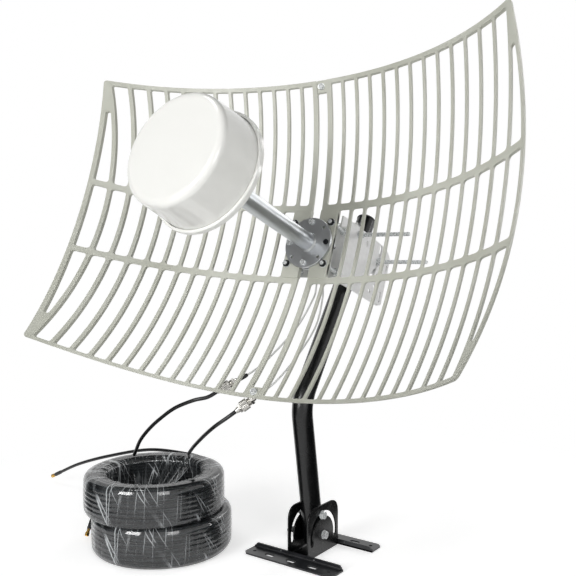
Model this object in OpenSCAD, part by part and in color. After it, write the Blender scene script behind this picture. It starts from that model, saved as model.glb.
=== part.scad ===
// Parabolic grid antenna, 0.9 x 0.6 m, on a cranked tube and a tilting floor or wall foot.
// X runs across the dish, -Y is the way it faces, +Z is up.
// The origin is the middle of the foot's underside.

/* [Reflector] */
// Radius of the bowl, twice its focal length
bowl_r = 628; // [600:1:680]
// Half the width over the side rims, at mid height
half_w = 439; // [430:1:455]
// Half the height over the top and bottom rims, at the middle
half_h = 297; // [285:1:305]
// Distance from one upright bar to the next
bar_pitch = 30.2; // [29:0.1:31]
// Width of an upright bar
bar_w = 6; // [5:0.5:9]
// Width of the outer rims
rim_w = 6.5; // [5.5:0.5:10]
// Width of the two cross ribs
rib_w = 11; // [9:0.5:13]
// Width of the bars next to the seam
edge_w = 10; // [8:0.5:12]
// Depth of the casting, front to back
cast_t = 4.5; // [4:0.5:7]
// Height of the cross ribs above and below the middle
rib_v = 71; // [68:1:76]
// Open gap between the two halves
seam_gap = 21; // [19:1:25]

/* [Feed] */
// Outer diameter of the feed tube
tube_d = 32; // [28:1:36]
// Diameter of the flange
flange_d = 97; // [90:1:104]
// Circle of the eight flange holes
flange_pcd = 80; // [76:1:84]
// Distance from the bowl to the back of the radome
radome_at = 296; // [280:1:310]
// Diameter over the radome's rear lip
radome_d = 206; // [196:1:216]
// Depth of the radome, lip to front face
radome_depth = 89; // [80:1:100]

/* [Mast] */
// Outer diameter of the mast tube
mast_d = 38; // [36:0.5:38]
// Wall of the mast tube
mast_wall = 2; // [1.5:0.5:3]
// Pivot to the crank
lower_len = 247; // [230:1:270]
// Crank to the top end
upper_len = 410; // [390:1:440]
// Forward lean of the lower part, as set
lower_lean = 9.2; // [0:0.1:20]
// Backward lean of the upper part, as set
upper_lean = 35; // [30:0.5:40]
// Radius of the crank along the middle of the tube
crank_r = 75; // [65:1:90]

/* [Foot] */
// Length of the two foot bars
foot_len = 190; // [180:1:220]
// Width of the flat leg of a foot bar
foot_w = 38; // [36:1:44]
// Height of the upright leg of a foot bar
foot_h = 10; // [8:0.5:13]
// Sheet thickness of the foot
foot_t = 3; // [2.5:0.5:3.5]
// Length of the two cheeks
cheek_l = 100; // [96:1:110]
// Height of the two cheeks
cheek_h = 88; // [86:1:96]
// Height of the pivot above the floor
pivot_z = 33; // [32:0.5:36]
// Distance from the pivot to the locking bolt
lock_r = 38; // [37:0.5:40]

/* [Clamp] */
// Distance from the crank to the middle of the clamp, up the mast
clamp_s = 340; // [325:1:355]
// Distance between the two clamp bolts
bolt_gap = 92; // [90:1:96]
// Upward aim of the dish, as set
aim = 20.7; // [18:0.1:25]
// Height of the clamp above the middle of the dish, along the dish
clamp_v = 52; // [50:1:55]
// Distance of the clamp behind the middle of the dish
clamp_w = 154.5; // [152:0.5:158]
// Length of the clamp bolts
clamp_bolt_l = 165; // [150:1:180]

/* [Cables] */
// Diameter of the black feeder cables
feeder_d = 7; // [6:0.5:7]
// Diameter of the thin pigtails
pigtail_d = 3.5; // [3:0.5:4]
// Outer diameter of a coil of feeder
coil_d = 256; // [250:1:258]
// Inner diameter of a coil of feeder
coil_in = 176; // [170:1:190]
// Height of one coil
coil_h = 70.5; // [66:0.5:70.5]

/* [Clearances] */
// Gap on each side between the mast and the cheeks
cheek_gap = 0.6; // [0.4:0.1:1]
// Radial gap of a bolt in its hole
bolt_gap_r = 0.3; // [0.2:0.1:0.5]
// Gap between faces that slide past each other
slide_gap = 0.2; // [0.1:0.1:0.4]
// Gap between the mast and the jaws
grip_gap = 0.3; // [0.3:0.1:0.5]

/* [Hidden] */
$fn = 48;
bolt_r = 4;                       // M8 throughout the mount
hole_r = bolt_r + bolt_gap_r;
head_h = 5.3;                     // M8 hexagon head
nut_h = 6.5;                      // M8 nut
hex_r = 13 / 2 / cos(30);         // 13 mm across flats
wash_r = 8;
wash_t = 1.6;

// foot
cheek_in = mast_d / 2 + cheek_gap;
cheek_out = cheek_in + foot_t;
slot_open = 102;                  // the arc slots open this far either side of upright
slot_w = 2 * bolt_r + 1.2;

// mast
crank = lower_lean + upper_lean;
crank_cut = crank_r * tan(crank / 2);
crank_y = -lower_len * sin(lower_lean);
crank_z = pivot_z + lower_len * cos(lower_lean);
mast_end = 16;

// clamp and dish placing
clamp_y = crank_y + clamp_s * sin(upper_lean);
clamp_z = crank_z + clamp_s * cos(upper_lean);
dish_y = clamp_y - clamp_v * sin(aim) - clamp_w * cos(aim);
dish_z = clamp_z - clamp_v * cos(aim) + clamp_w * sin(aim);
elev = upper_lean - aim;          // mast against the back of the dish
jaw_v = 120;                      // opening of the jaws' notch, degrees
jaw_x = mast_d / 2 + 4;           // inner face of a jaw's web
jaw_t = 3;
jaw_out = jaw_x + jaw_t;
jaw_y = bolt_gap / 2 + 14;        // half length of a jaw
jaw_z = 20;                       // half height of a jaw
plate_t = 3;
plate_x = jaw_out + slide_gap;
plate_out = plate_x + plate_t;

// reflector
bar0 = seam_gap / 2 + edge_w / 2;  // middle of the bar beside the seam
bars = 13;
sag_h = 31;                       // drop of the top rim at 400 mm
sag_w = 27;                       // narrowing of the side rim at 265 mm
top_r = (400 * 400 + sag_h * sag_h) / (2 * sag_h);
side_r = (265 * 265 + sag_w * sag_w) / (2 * sag_w);
pad_u = bar0 + bar_pitch + bar_w / 2;
pad_f = 6;
pad_b = -3;
tab_low = half_h - 17;           // inner end of the tongues
gusset_v = half_h - sag_h - 53;   // the corner is solid beyond this
corner_r = 9;
stud = (flange_d / 2 + hex_r + 0.3) / sqrt(2);      // nuts clear the flange
back_w = -40;                     // front face of the bracket's square plate

// feed
flange_t = 6;
ring_t = 4;
tube_end = -20;
lip_r = radome_d / 2;
cup_r = lip_r - 5;                // radome shell at its rear edge
nose_r = cup_r - 5;
wall = 2.5;
board_w = radome_at + 34;

// cables
coil1 = [-249, -138, 0];
coil2 = [-257, -150, coil_h + 0.3];
coil2_top = coil2[2] + coil_h;
plug_d = 20;

// Placing ---------------------------------------------------------------

// Lower mast: z runs up the tube from the pivot.
module on_lower() translate([0, 0, pivot_z]) rotate([lower_lean, 0, 0]) children();

// Upper mast: z runs up the tube, from the middle of the clamp.
module on_clamp() translate([0, clamp_y, clamp_z]) rotate([-upper_lean, 0, 0]) children();

// Dish: x across, y up the dish, z out of the bowl, from its middle.
module on_dish() translate([0, dish_y, dish_z]) rotate([90 - aim, 0, 0]) children();

// The clamp's frame seen from the dish: x across, y back, z up the mast.

// A point of the dish's frame in the frame of the whole antenna.
function from_dish(p) = [p[0], dish_y + p[1] * sin(aim) - p[2] * cos(aim),
    dish_z + p[1] * cos(aim) + p[2] * sin(aim)];

// Depth of the bowl's front face at a point.
function bowl(u, v) = bowl_r - sqrt(bowl_r * bowl_r - u * u - v * v);

// Fasteners and small shapes -------------------------------------------

module along_x(x) translate([x, 0, 0]) rotate([0, 90, 0]) children();

module hex(r, h) cylinder(r = r, h = h, $fn = 6);

module ring(r, bore, h)
    difference() {
        cylinder(r = r, h = h);
        translate([0, 0, -1]) cylinder(r = bore, h = h + 2);
    }

module nut(h = nut_h)
    difference() {
        hex(hex_r, h);
        translate([0, 0, -1]) cylinder(r = bolt_r, h = h + 2);
    }

module slot2d(len, w) {
    square([len - w, w], center = true);
    for (s = [-1, 1]) translate([s * (len - w) / 2, 0]) circle(d = w);
}

// Arc slot about the origin: starts upright, opens by a0 and a1 to the sides.
// Its round ends are a touch wider than the arc.
module arc_slot2d(r, w, a0, a1) {
    intersection() {
        difference() {
            circle(r = r + w / 2);
            circle(r = r - w / 2);
        }
        polygon(concat([[0, 0]], [for (i = [0:8])
            let (a = -a0 + (a0 + a1) * i / 8) 2 * r * [sin(a), cos(a)]]));
    }
    for (a = [-a0, a1]) translate(r * [sin(a), cos(a)]) circle(d = w + 0.1);
}

// Round tube along a list of points, one ring of sides at each.
function unit(v) = v / norm(v);
function way(p, i) = unit(p[min(i + 1, len(p) - 1)] - p[max(i - 1, 0)]);
function side(t) = unit(cross(t, abs(t[2]) < 0.9 ? [0, 0, 1] : [0, 1, 0]));
function turn(s, t) = unit(s - (s * t) * t);
function sides(p, i = 0, s = undef) = i >= len(p) ? [] :
    let (t = way(p, i), n = s == undef ? side(t) : turn(s, t))
    concat([[n, cross(t, n)]], sides(p, i + 1, n));

module hose(p, d, n = 8) {
    f = sides(p);
    m = len(p);
    polyhedron(
        points = [for (i = [0:m - 1]) for (k = [0:n - 1])
            p[i] + d / 2 * (cos(360 * k / n) * f[i][0] + sin(360 * k / n) * f[i][1])],
        faces = concat([[for (k = [0:n - 1]) n - 1 - k]],
            [for (i = [0:m - 2]) for (k = [0:n - 1]) [i * n + k, i * n + (k + 1) % n,
                (i + 1) * n + (k + 1) % n, (i + 1) * n + k]],
            [[for (k = [0:n - 1]) (m - 1) * n + k]]));
}

// Smooth curve through route points, n steps to a stretch.
function pick(p, i) = p[max(0, min(len(p) - 1, i))];
function bend(a, b, c, d, t) = 0.5 * ((2 * b) + (c - a) * t + (2 * a - 5 * b + 4 * c - d) * t * t
    + (3 * b - a - 3 * c + d) * t * t * t);
function route(p, n) = concat([for (i = [0:len(p) - 2]) for (j = [0:n - 1])
    bend(pick(p, i - 1), p[i], p[i + 1], pick(p, i + 2), j / n)], [p[len(p) - 1]]);

// Points something along the last stretch of a route, for pieces put on its end.
function last_way(p) = unit(p[len(p) - 1] - p[len(p) - 2]);
module point_to(p, t)
    translate(p) multmatrix([
        for (k = [0:2]) [side(t)[k], cross(t, side(t))[k], t[k], 0]]) children();

// Foot ------------------------------------------------------------------

module cheek2d() {
    r = 26;
    difference() {
        union() {
            translate([-cheek_l / 2, 0]) square([cheek_l, cheek_h - r]);
            translate([-cheek_l / 2 + r, 0]) square([cheek_l - 2 * r, cheek_h]);
            for (s = [-1, 1]) translate([s * (cheek_l / 2 - r), cheek_h - r]) circle(r = r);
        }
        translate([0, pivot_z]) circle(r = hole_r);
        translate([0, pivot_z]) arc_slot2d(lock_r, slot_w, slot_open, slot_open);
    }
}

module base_bracket() color("#202124") {
    for (s = [-1, 1])
        translate([s > 0 ? cheek_in : -cheek_out, 0, 0])
            rotate([90, 0, 90]) linear_extrude(foot_t) cheek2d();
    // web between the cheeks, with a drain hole
    difference() {
        translate([-cheek_in - 1, -cheek_l / 2, 0]) cube([2 * cheek_in + 2, cheek_l, foot_t]);
        translate([0, 0, -1]) cylinder(r = 9, h = foot_t + 2);
    }
}

module foot_bar()
    difference() {
        union() {
            difference() {
                translate([-foot_len / 2, 0, 0]) cube([foot_len, foot_w, foot_t]);
                for (s = [-1, 1]) translate([s * foot_len / 2, foot_w, -1])
                    rotate([0, 0, 45]) cube([10, 10, 9], center = true);
            }
            rotate([90, 0, 0]) mirror([0, 0, 1]) linear_extrude(foot_t)
                polygon([[-foot_len / 2, 0], [foot_len / 2, 0], [foot_len / 2, foot_t],
                    [foot_len / 2 - 6, foot_h], [-foot_len / 2 + 6, foot_h],
                    [-foot_len / 2, foot_t]]);
        }
        translate([0, foot_w * 0.58, -1]) linear_extrude(foot_t + 2) {
            for (x = [-46, 0, 46]) translate([x, 0]) slot2d(20, 9);
            for (x = [-80, 80]) translate([x, 0]) circle(r = 3.5);
        }
        for (x = [-36, 36]) translate([x, foot_t + 1, foot_h * 0.62])
            rotate([90, 0, 0]) cylinder(r = 1.6, h = foot_t + 2);
    }

module foot_bar_rear() color("#3a3b3e") translate([0, cheek_l / 2, 0]) foot_bar();
module foot_bar_front() color("#3a3b3e") mirror([0, 1, 0]) translate([0, cheek_l / 2, 0]) foot_bar();

// A bolt across both cheeks; the washers sit out by gap.
module cross_bolt(gap) {
    along_x(-cheek_out - gap - wash_t - nut_h - 3)
        cylinder(r = bolt_r, h = 2 * (cheek_out + gap + wash_t) + nut_h + 3);
    along_x(cheek_out + gap + wash_t) hex(hex_r, head_h);
}
module cross_washers(gap)
    for (x = [cheek_out + gap, -cheek_out - gap - wash_t]) along_x(x) ring(wash_r, bolt_r, wash_t);
module cross_nut(gap) along_x(-cheek_out - gap - wash_t - nut_h) nut();

module pivot_bolt() color("#c9ccd0") translate([0, 0, pivot_z]) cross_bolt(0);
module pivot_washers() color("#c9ccd0") translate([0, 0, pivot_z]) cross_washers(0);
module pivot_nut() color("#c9ccd0") translate([0, 0, pivot_z]) cross_nut(0);
module lock_bolt() color("#c9ccd0") on_lower() translate([0, 0, lock_r]) cross_bolt(slide_gap);
module lock_washers() color("#c9ccd0") on_lower() translate([0, 0, lock_r]) cross_washers(slide_gap);
module lock_nut() color("#c9ccd0") on_lower() translate([0, 0, lock_r]) cross_nut(slide_gap);

// Mast ------------------------------------------------------------------

module pipe(h, r) ring(r, r - mast_wall, h);

// The bend is drawn a hair fatter than the straight parts, as bending leaves it.
bend_over = 0.06;
module crank_bend()
    rotate([90, 0, -90]) rotate_extrude(angle = crank, $fn = 96) translate([crank_r, 0]) difference() {
        circle(d = mast_d + bend_over);
        circle(d = mast_d - 2 * mast_wall - bend_over);
    }

module mast() color("#1c1d20") on_lower() {
    difference() {
        translate([0, 0, -mast_end]) pipe(mast_end + lower_len - crank_cut, mast_d / 2);
        along_x(-mast_d) cylinder(r = hole_r, h = 2 * mast_d);
        translate([0, 0, lock_r]) along_x(-mast_d) cylinder(r = bolt_r, h = 2 * mast_d);
    }
    // the crank turns about a line behind the tube
    translate([0, crank_r, lower_len - crank_cut]) crank_bend();
    translate([0, 0, lower_len]) rotate([-crank, 0, 0])
        translate([0, 0, crank_cut]) pipe(upper_len - crank_cut, mast_d / 2);
}

module mast_cap() color("#101113") on_clamp() translate([0, 0, upper_len - clamp_s])
    rotate_extrude() union() {
        square([mast_d / 2 + 0.8, 2.2]);
        translate([0, 2.2]) square([mast_d / 2 - 1.2, 2]);
        translate([mast_d / 2 - 1.2, 2.2]) intersection() {
            circle(r = 2, $fn = 32);
            square(2);
        }
        translate([0, -14]) square([mast_d / 2 - mast_wall, 14]);
    }

// Clamp -----------------------------------------------------------------

// Cheek of a jaw: a bar with a wide notch that grips the tube.
module jaw_cheek2d() {
    g = mast_d / 2 + grip_gap;
    apex = g / sin(jaw_v / 2);
    difference() {
        union() {
            translate([7, -jaw_y]) square([jaw_out - 7, 2 * jaw_y]);
            translate([3, -jaw_y + 12]) square([8, 2 * jaw_y - 24]);
        }
        polygon([[apex, 0], [apex - 30, 30 * tan(jaw_v / 2)], [apex - 30, -30 * tan(jaw_v / 2)]]);
    }
}

module jaw() difference() {
    union() {
        translate([jaw_x, -jaw_y, -jaw_z]) cube([jaw_t, 2 * jaw_y, 2 * jaw_z]);
        for (z = [-jaw_z, jaw_z - jaw_t]) translate([0, 0, z]) linear_extrude(jaw_t) jaw_cheek2d();
    }
    for (y = [-1, 1]) translate([0, y * bolt_gap / 2, 0]) along_x(0) cylinder(r = bolt_r, h = 50);
}

module jaw_near() color("#d6d8da") on_clamp() jaw();
module jaw_far() color("#d6d8da") on_clamp() mirror([1, 0, 0]) jaw();

module at_bolts() on_clamp() for (y = [-1, 1]) translate([0, y * bolt_gap / 2, 0]) children();

module clamp_bolts() color("#c2c5c9") at_bolts() {
    along_x(-jaw_out - wash_t) cylinder(r = bolt_r, h = clamp_bolt_l);
    along_x(-jaw_out - wash_t - head_h) hex(hex_r, head_h);
}
module clamp_washers() color("#c2c5c9") at_bolts()
    for (x = [-jaw_out - wash_t, plate_out + slide_gap]) along_x(x) ring(wash_r, bolt_r, wash_t);
module clamp_nuts() color("#c2c5c9") at_bolts() along_x(plate_out + slide_gap + wash_t) nut();

// Side plate of the bracket, in the dish's v and w.
module side_plate2d() {
    piv = [clamp_v + bolt_gap / 2 * sin(elev), -clamp_w + bolt_gap / 2 * cos(elev)];
    difference() {
        polygon([[75, back_w - plate_t], [78, -90], [78, -222], [64, -246], [-38, -240],
            [-44, -226], [-46, -120], [-50, back_w - plate_t]]);
        translate(piv) circle(r = hole_r);
        // arc slot for the second clamp bolt, about the first
        translate(piv) rotate(180 - elev) arc_slot2d(bolt_gap, 2 * hole_r + 0.6, 20, 26);
        translate([59, -146]) rotate(8) slot2d(12, 6.5);
        translate([-25, -185]) rotate(70) slot2d(11, 6.5);
        translate([-11, -201]) rotate(70) slot2d(11, 6.5);
        translate([-24, -229]) slot2d(22, 6.5);
        translate([40, -236]) slot2d(12, 6.5);
    }
}

module dish_bracket() color("#dddfe0") on_dish() {
    difference() {
        translate([-stud - 10, -stud - 10, back_w - plate_t]) cube([2 * stud + 20, 2 * stud + 22, plate_t]);
        for (u = [-1, 1]) for (v = [-1, 1]) translate([u * stud, v * stud, back_w - plate_t - 1])
            cylinder(r = bolt_r, h = plate_t + 2);
    }
    // stands on the back of the square plate
    translate([plate_out, 0, 0]) rotate([0, -90, 0]) linear_extrude(plate_t) side_in_place();
}

// side_plate2d gives (v, w); the extrusion wants (w, v).
module side_in_place() multmatrix([[0, 1, 0, 0], [1, 0, 0, 0], [0, 0, 1, 0], [0, 0, 0, 1]])
    side_plate2d();

module studs() color("#25262a") on_dish()
    for (u = [-1, 1]) for (v = [-1, 1]) translate([u * stud, v * stud, 0]) {
        translate([0, 0, back_w - plate_t - nut_h - 5])
            cylinder(r = bolt_r, h = pad_f - back_w + plate_t + nut_h + 5);
        translate([0, 0, pad_f]) hex(hex_r, head_h);
    }

module stud_nuts() color("#c2c5c9") on_dish()
    for (u = [-1, 1]) for (v = [-1, 1]) translate([u * stud, v * stud, 0])
        for (w = [pad_b - nut_h, back_w, back_w - plate_t - nut_h]) translate([0, 0, w]) nut();

// Reflector -------------------------------------------------------------

// Bowl between two depths of the casting, front face at 0.
module bowl_shell(front, back)
    translate([0, 0, bowl_r]) difference() {
        sphere(r = bowl_r + back, $fn = 200);
        sphere(r = bowl_r + front, $fn = 200);
    }

// Everything inside the rims, drawn in by d.
module rim_line(d) {
    intersection() {
        translate([seam_gap / 2 + d, -400]) square([500, 800]);
        translate([half_w - side_r, 0]) circle(r = side_r - d + rim_w / 2, $fn = 300);
        translate([0, half_h - top_r]) circle(r = top_r - d + rim_w / 2, $fn = 300);
        translate([0, top_r - half_h]) circle(r = top_r - d + rim_w / 2, $fn = 300);
    }
}

// The openings of one half, right of the seam.
module cells() difference() {
    rim_line(rim_w);
    for (k = [1:bars]) translate([bar0 + k * bar_pitch - bar_w / 2, -400]) square([bar_w, 800]);
    translate([0, -400]) square([seam_gap / 2 + edge_w, 800]);
    for (s = [-1, 1]) translate([0, s * rib_v - rib_w / 2]) square([500, rib_w]);
    // pad for the feed
    translate([0, -rib_v]) square([pad_u, 2 * rib_v]);
    // solid corners beyond the last bar
    for (s = [0, 1]) mirror([0, s]) translate([bar0 + bars * bar_pitch, gusset_v]) square([60, 100]);
}

// Middle of a corner's rounding, where both rims lie corner_r away.
rim_a = [half_w - side_r, 0];
rim_b = [0, half_h - top_r];
corner_c = let (ra = side_r + rim_w / 2 - corner_r, rb = top_r + rim_w / 2 - corner_r,
    d = norm(rim_b - rim_a), e = (rim_b - rim_a) / d, x = (ra * ra - rb * rb + d * d) / (2 * d))
    rim_a + x * e + sqrt(ra * ra - x * x) * [-e[1], e[0]];

// Outer edge with its two rounded corners; each round is a touch fuller than the rims.
module outer_line() {
    out_a = unit(corner_c - rim_a);
    out_b = unit(corner_c - rim_b);
    difference() {
        rim_line(0);
        for (s = [0, 1]) mirror([0, s]) polygon([corner_c, corner_c + corner_r * out_b,
            corner_c + 3 * corner_r * unit(out_a + out_b), corner_c + corner_r * out_a]);
    }
    for (s = [-1, 1]) translate([corner_c[0], s * corner_c[1]]) circle(r = corner_r + 0.05);
}

module half_pattern() difference() {
    outer_line();
    cells();
}

module half_dish() difference() {
    union() {
        intersection() {
            bowl_shell(0, cast_t);
            translate([0, 0, -20]) linear_extrude(300) half_pattern();
        }
        translate([seam_gap / 2, -rib_v + rib_w / 2, pad_b])
            cube([pad_u - seam_gap / 2, 2 * rib_v - rib_w, pad_f - pad_b]);
    }
    // bore for the feed, and a flat back to the pad
    cylinder(r = tube_d / 2 + 0.5, h = 60, center = true);
    translate([0, -rib_v + rib_w / 2, pad_b - 20]) cube([pad_u + 1, 2 * rib_v - rib_w, 20]);
    for (v = [-stud, stud]) translate([stud, v, 0]) cylinder(r = bolt_r, h = 60, center = true);
    translate([flange_pcd / 2, 0, 0]) cylinder(r = 3, h = 60, center = true);
}

// Tongue that reaches over the seam, in the front or the back of the casting.
module tongue(front, back, s)
    intersection() {
        bowl_shell(front, back);
        translate([-seam_gap / 2 + 0.4, s > 0 ? tab_low : -half_h - rim_w / 2 + 0.2, -20])
            cube([seam_gap, half_h + rim_w / 2 - tab_low - 0.2, 200]);
    }

// Seam screws stand square to the bowl where they sit.
seam_v = half_h - 7;
module at_seam() for (s = [-1, 1]) translate([0, s * seam_v, bowl(0, seam_v)])
    rotate([s * asin(seam_v / bowl_r), 0, 0]) children();
module seam_holes() at_seam() cylinder(r = 3, h = 40, center = true);

// Both halves are one casting; its tongue is in front at one end and behind at the other.
module casting() difference() {
    union() {
        half_dish();
        tongue(0, cast_t / 2 - 0.1, 1);
        tongue(cast_t / 2, cast_t, -1);
    }
    seam_holes();
}

module reflector_right() color("#bfc0b6") on_dish() casting();
module reflector_left() color("#bfc0b6") on_dish() rotate(180) casting();

// Washer under the head in front, nut behind.
module seam_screws() color("#c9ccd0") on_dish() at_seam() {
    translate([0, 0, -cast_t - 9]) cylinder(r = 3, h = cast_t + 11);
    translate([0, 0, 1.8]) hex(5.8, 4);
}
module seam_nuts() color("#c9ccd0") on_dish() at_seam() {
    translate([0, 0, 0.1]) ring(6.4, 3, 1.6);
    translate([0, 0, -cast_t - 5.1]) difference() {
        hex(5.8, 5);
        translate([0, 0, -1]) cylinder(r = 3, h = 7);
    }
}

// Feed ------------------------------------------------------------------

module at_flange(list, r) for (a = list) rotate(a) translate([r, 0, 0]) children();

module backing_ring() color("#9b9d9e") on_dish() difference() {
    translate([0, 0, pad_b - ring_t]) cylinder(r = flange_d / 2 - 2, h = ring_t);
    cylinder(r = tube_d / 2 + 0.5, h = 60, center = true);
    at_flange([0, 90, 180, 270], flange_pcd / 2) cylinder(r = 3, h = 60, center = true);
}

module feed_flange() color("#b9bcbf") on_dish() difference() {
    union() {
        translate([0, 0, pad_f]) cylinder(d = flange_d, h = flange_t);
        translate([0, 0, pad_f + flange_t]) cylinder(d1 = tube_d + 8, d2 = tube_d + 1, h = 5);
    }
    cylinder(d = tube_d, h = 60, center = true);
    at_flange([0:45:315], flange_pcd / 2) cylinder(r = 3, h = 60, center = true);
}

module feed_tube() color("#cfd1d3") on_dish() translate([0, 0, tube_end])
    ring(tube_d / 2, tube_d / 2 - 1.8, radome_at + 3 - tube_end);

module m6_bolt() {
    translate([0, 0, pad_b - ring_t - 10]) cylinder(r = 3, h = pad_f + flange_t - pad_b + ring_t + 10);
    translate([0, 0, pad_f + flange_t]) hex(5.8, 4);
}
module flange_bolts() color("#c9ccd0") on_dish() at_flange([90, 180, 270], flange_pcd / 2) m6_bolt();
module flange_socket_screw() color("#3a3c40") on_dish() at_flange([0], flange_pcd / 2) difference() {
    union() {
        translate([0, 0, pad_b - ring_t - 10])
            cylinder(r = 3, h = pad_f + flange_t - pad_b + ring_t + 10);
        translate([0, 0, pad_f + flange_t]) cylinder(r = 5, h = 3);
    }
    translate([0, 0, pad_f + flange_t + 0.5]) hex(2.9, 5);
}
module flange_nuts() color("#c9ccd0") on_dish() at_flange([0, 90, 180, 270], flange_pcd / 2)
    translate([0, 0, pad_b - ring_t - 5]) difference() {
        hex(5.8, 5);
        translate([0, 0, -1]) cylinder(r = 3, h = 9);
    }

// Radome shell: a drafted cup with a soft front edge.
module cup2d(d) {
    r1 = cup_r - d;
    r2 = nose_r - d;
    b = 3;
    f = radome_depth - d;
    e = 11 - d;
    union() {
        polygon([[0, b], [r1, b], [r2, f - e], [0, f - e]]);
        square([r2 - e, f]);
        translate([r2 - e, f - e]) circle(r = e, $fn = 40);
    }
}

module radome_cover() color("#f4f4f1") on_dish() translate([0, 0, radome_at])
    rotate_extrude($fn = 96) difference() {
        intersection() {
            cup2d(0);
            square(300);
        }
        translate([0, -1]) intersection() {
            union() {
                cup2d(wall);
                square([cup_r - wall, 5]);
            }
            square(300);
        }
    }

module radome_back() color("#efefec") on_dish() translate([0, 0, radome_at]) difference() {
    union() {
        rotate_extrude($fn = 96) {
            square([lip_r - 3, 3]);
            translate([lip_r - 3, 3]) circle(r = 3, $fn = 32);
            translate([cup_r + 0.2, 3]) square([lip_r - cup_r - 0.2, 8]);
            translate([lip_r - 2, 11]) circle(r = 2, $fn = 32);
            translate([cup_r - wall - 3, 0]) square([2.7, 12]);
        }
        // collar on the tube
        translate([0, 0, -10]) cylinder(d = tube_d + 7, h = 11);
    }
    cylinder(d = tube_d, h = 60, center = true);
}

module feed_reflector() color("#c3c6c8") on_dish() translate([0, 0, radome_at + 3]) difference() {
    cylinder(r = cup_r - wall - 4, h = 2);
    for (x = [-5, 5]) translate([x, 0, -1]) cylinder(r = 1.5, h = 5);
}

module feed_posts() color("#c9ccd0") on_dish() for (a = [45:90:315]) rotate(a)
    translate([34, 0, radome_at + 5]) cylinder(r = 4, h = board_w - radome_at - 5);

module feed_board() color("#3f6b4a") on_dish() translate([0, 0, board_w]) difference() {
    linear_extrude(1.6) union() {
        for (a = [45, 135]) rotate(a) square([88, 26], center = true);
        circle(r = 26);
    }
    for (x = [-5, 5]) translate([x, 0, -1]) cylinder(r = 1.5, h = 5);
}

module feed_leads() color("#b9793f") on_dish() for (x = [-5, 5])
    translate([x, 0, tube_end + 6]) cylinder(r = 1.5, h = board_w + 1.6 - tube_end - 6);

module tube_grommet() color("#1a1b1d") on_dish() difference() {
    union() {
        translate([0, 0, tube_end]) cylinder(r = tube_d / 2 - 1.8, h = 8);
        translate([0, 0, tube_end - 3]) cylinder(r = tube_d / 2, h = 3);
    }
    for (x = [-5, 5]) translate([x, 0, tube_end - 4]) cylinder(r = pigtail_d / 2, h = 14);
}

// Cables ----------------------------------------------------------------

lead_a = from_dish([-5, 0, tube_end + 6]);
lead_b = from_dish([5, 0, tube_end + 6]);
pig_1 = route([lead_a, from_dish([-5, 0, tube_end - 4]), from_dish([-4, -10, tube_end - 12]),
    [0, 14, 520], [4, 4, 484], [-8, 10, 459], [-38, -3, 404], [-68, -52, 349], [-82, -73, 331],
    [-90, -82, 324]], 3);
pig_2 = route([lead_b, from_dish([5, 0, tube_end - 4]), from_dish([7, -10, tube_end - 12]),
    [14, 13, 520], [18, 5, 486], [12, 12, 460], [6, -2, 410], [-4, -50, 358], [-25, -80, 319],
    [-41, -94, 302]], 3);
shrink_l = 20;
jack_l = 16;
plug_l = 26;
way_1 = last_way(pig_1);
way_2 = last_way(pig_2);
end_1 = pig_1[len(pig_1) - 1];
end_2 = pig_2[len(pig_2) - 1];

module sleeve(p, t, d, bore, l) point_to(p, t) ring(d / 2, bore / 2, l);

// Coupler body with its hexagon.
module jack(p, t) point_to(p, t) {
    cylinder(d = 11, h = jack_l);
    translate([0, 0, 5]) hex(8.8, 5);
    translate([0, 0, 10]) cylinder(d = 15, h = jack_l - 10);
}
// Coupling nut, back nut and the feeder's strain relief.
module plug(p, t) point_to(p, t) {
    cylinder(d = plug_d, h = 14);
    translate([0, 0, 14]) hex(8.4, 5);
    translate([0, 0, 19]) cylinder(d = 11, h = plug_l - 19);
}

module pigtail_1() color("#d9dad9") hose(pig_1, pigtail_d);
module pigtail_2() color("#d9dad9") hose(pig_2, pigtail_d);
module shrink_1() color("#141516") point_to(end_1, way_1) cylinder(d = 8, h = shrink_l);
module shrink_2() color("#141516") point_to(end_2, way_2) cylinder(d = 8, h = shrink_l);
module jack_1() color("#b08d3c") jack(end_1 + shrink_l * way_1, way_1);
module jack_2() color("#b08d3c") jack(end_2 + shrink_l * way_2, way_2);
module plug_1() color("#c9ccd0") plug(end_1 + (shrink_l + jack_l) * way_1, way_1);
module plug_2() color("#c9ccd0") plug(end_2 + (shrink_l + jack_l) * way_2, way_2);

end_gap = 0.3;
out_1 = end_1 + (shrink_l + jack_l + plug_l) * way_1;
out_2 = end_2 + (shrink_l + jack_l + plug_l) * way_2;
feed_1 = route([out_1 + end_gap * way_1, out_1 + 20 * way_1, [-164, -145, 279], [-204, -150, 262],
    [-242, -147, 239], [-277, -143, 214], [-309, -137, 186], [-339, -121, 158],
    [-354, -112, coil2_top + feeder_d / 2]], 3);
feed_2 = route([out_2 + end_gap * way_2, out_2 + 20 * way_2, [-116, -140, 238], [-148, -130, 217],
    [-181, -113, 196], [-212, -92, 178], [-242, -68, 161], [-272, -42, coil2_top + feeder_d / 2]], 3);

module feeder_1() color("#1b1c1e") hose(feed_1, feeder_d);
module feeder_2() color("#1b1c1e") hose(feed_2, feeder_d);

module coil(at) translate(at) rotate_extrude($fn = 96) {
    e = 12;
    translate([coil_in / 2 + e, 0]) square([(coil_d - coil_in) / 2 - 2 * e, coil_h]);
    translate([coil_in / 2, e]) square([(coil_d - coil_in) / 2, coil_h - 2 * e]);
    for (r = [coil_in / 2 + e, coil_d / 2 - e]) for (z = [e, coil_h - e])
        translate([r, z]) circle(r = e, $fn = 32);
}
module coil_lower() color("#2b2c2f") coil(coil1);
module coil_upper() color("#2b2c2f") coil(coil2);

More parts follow.
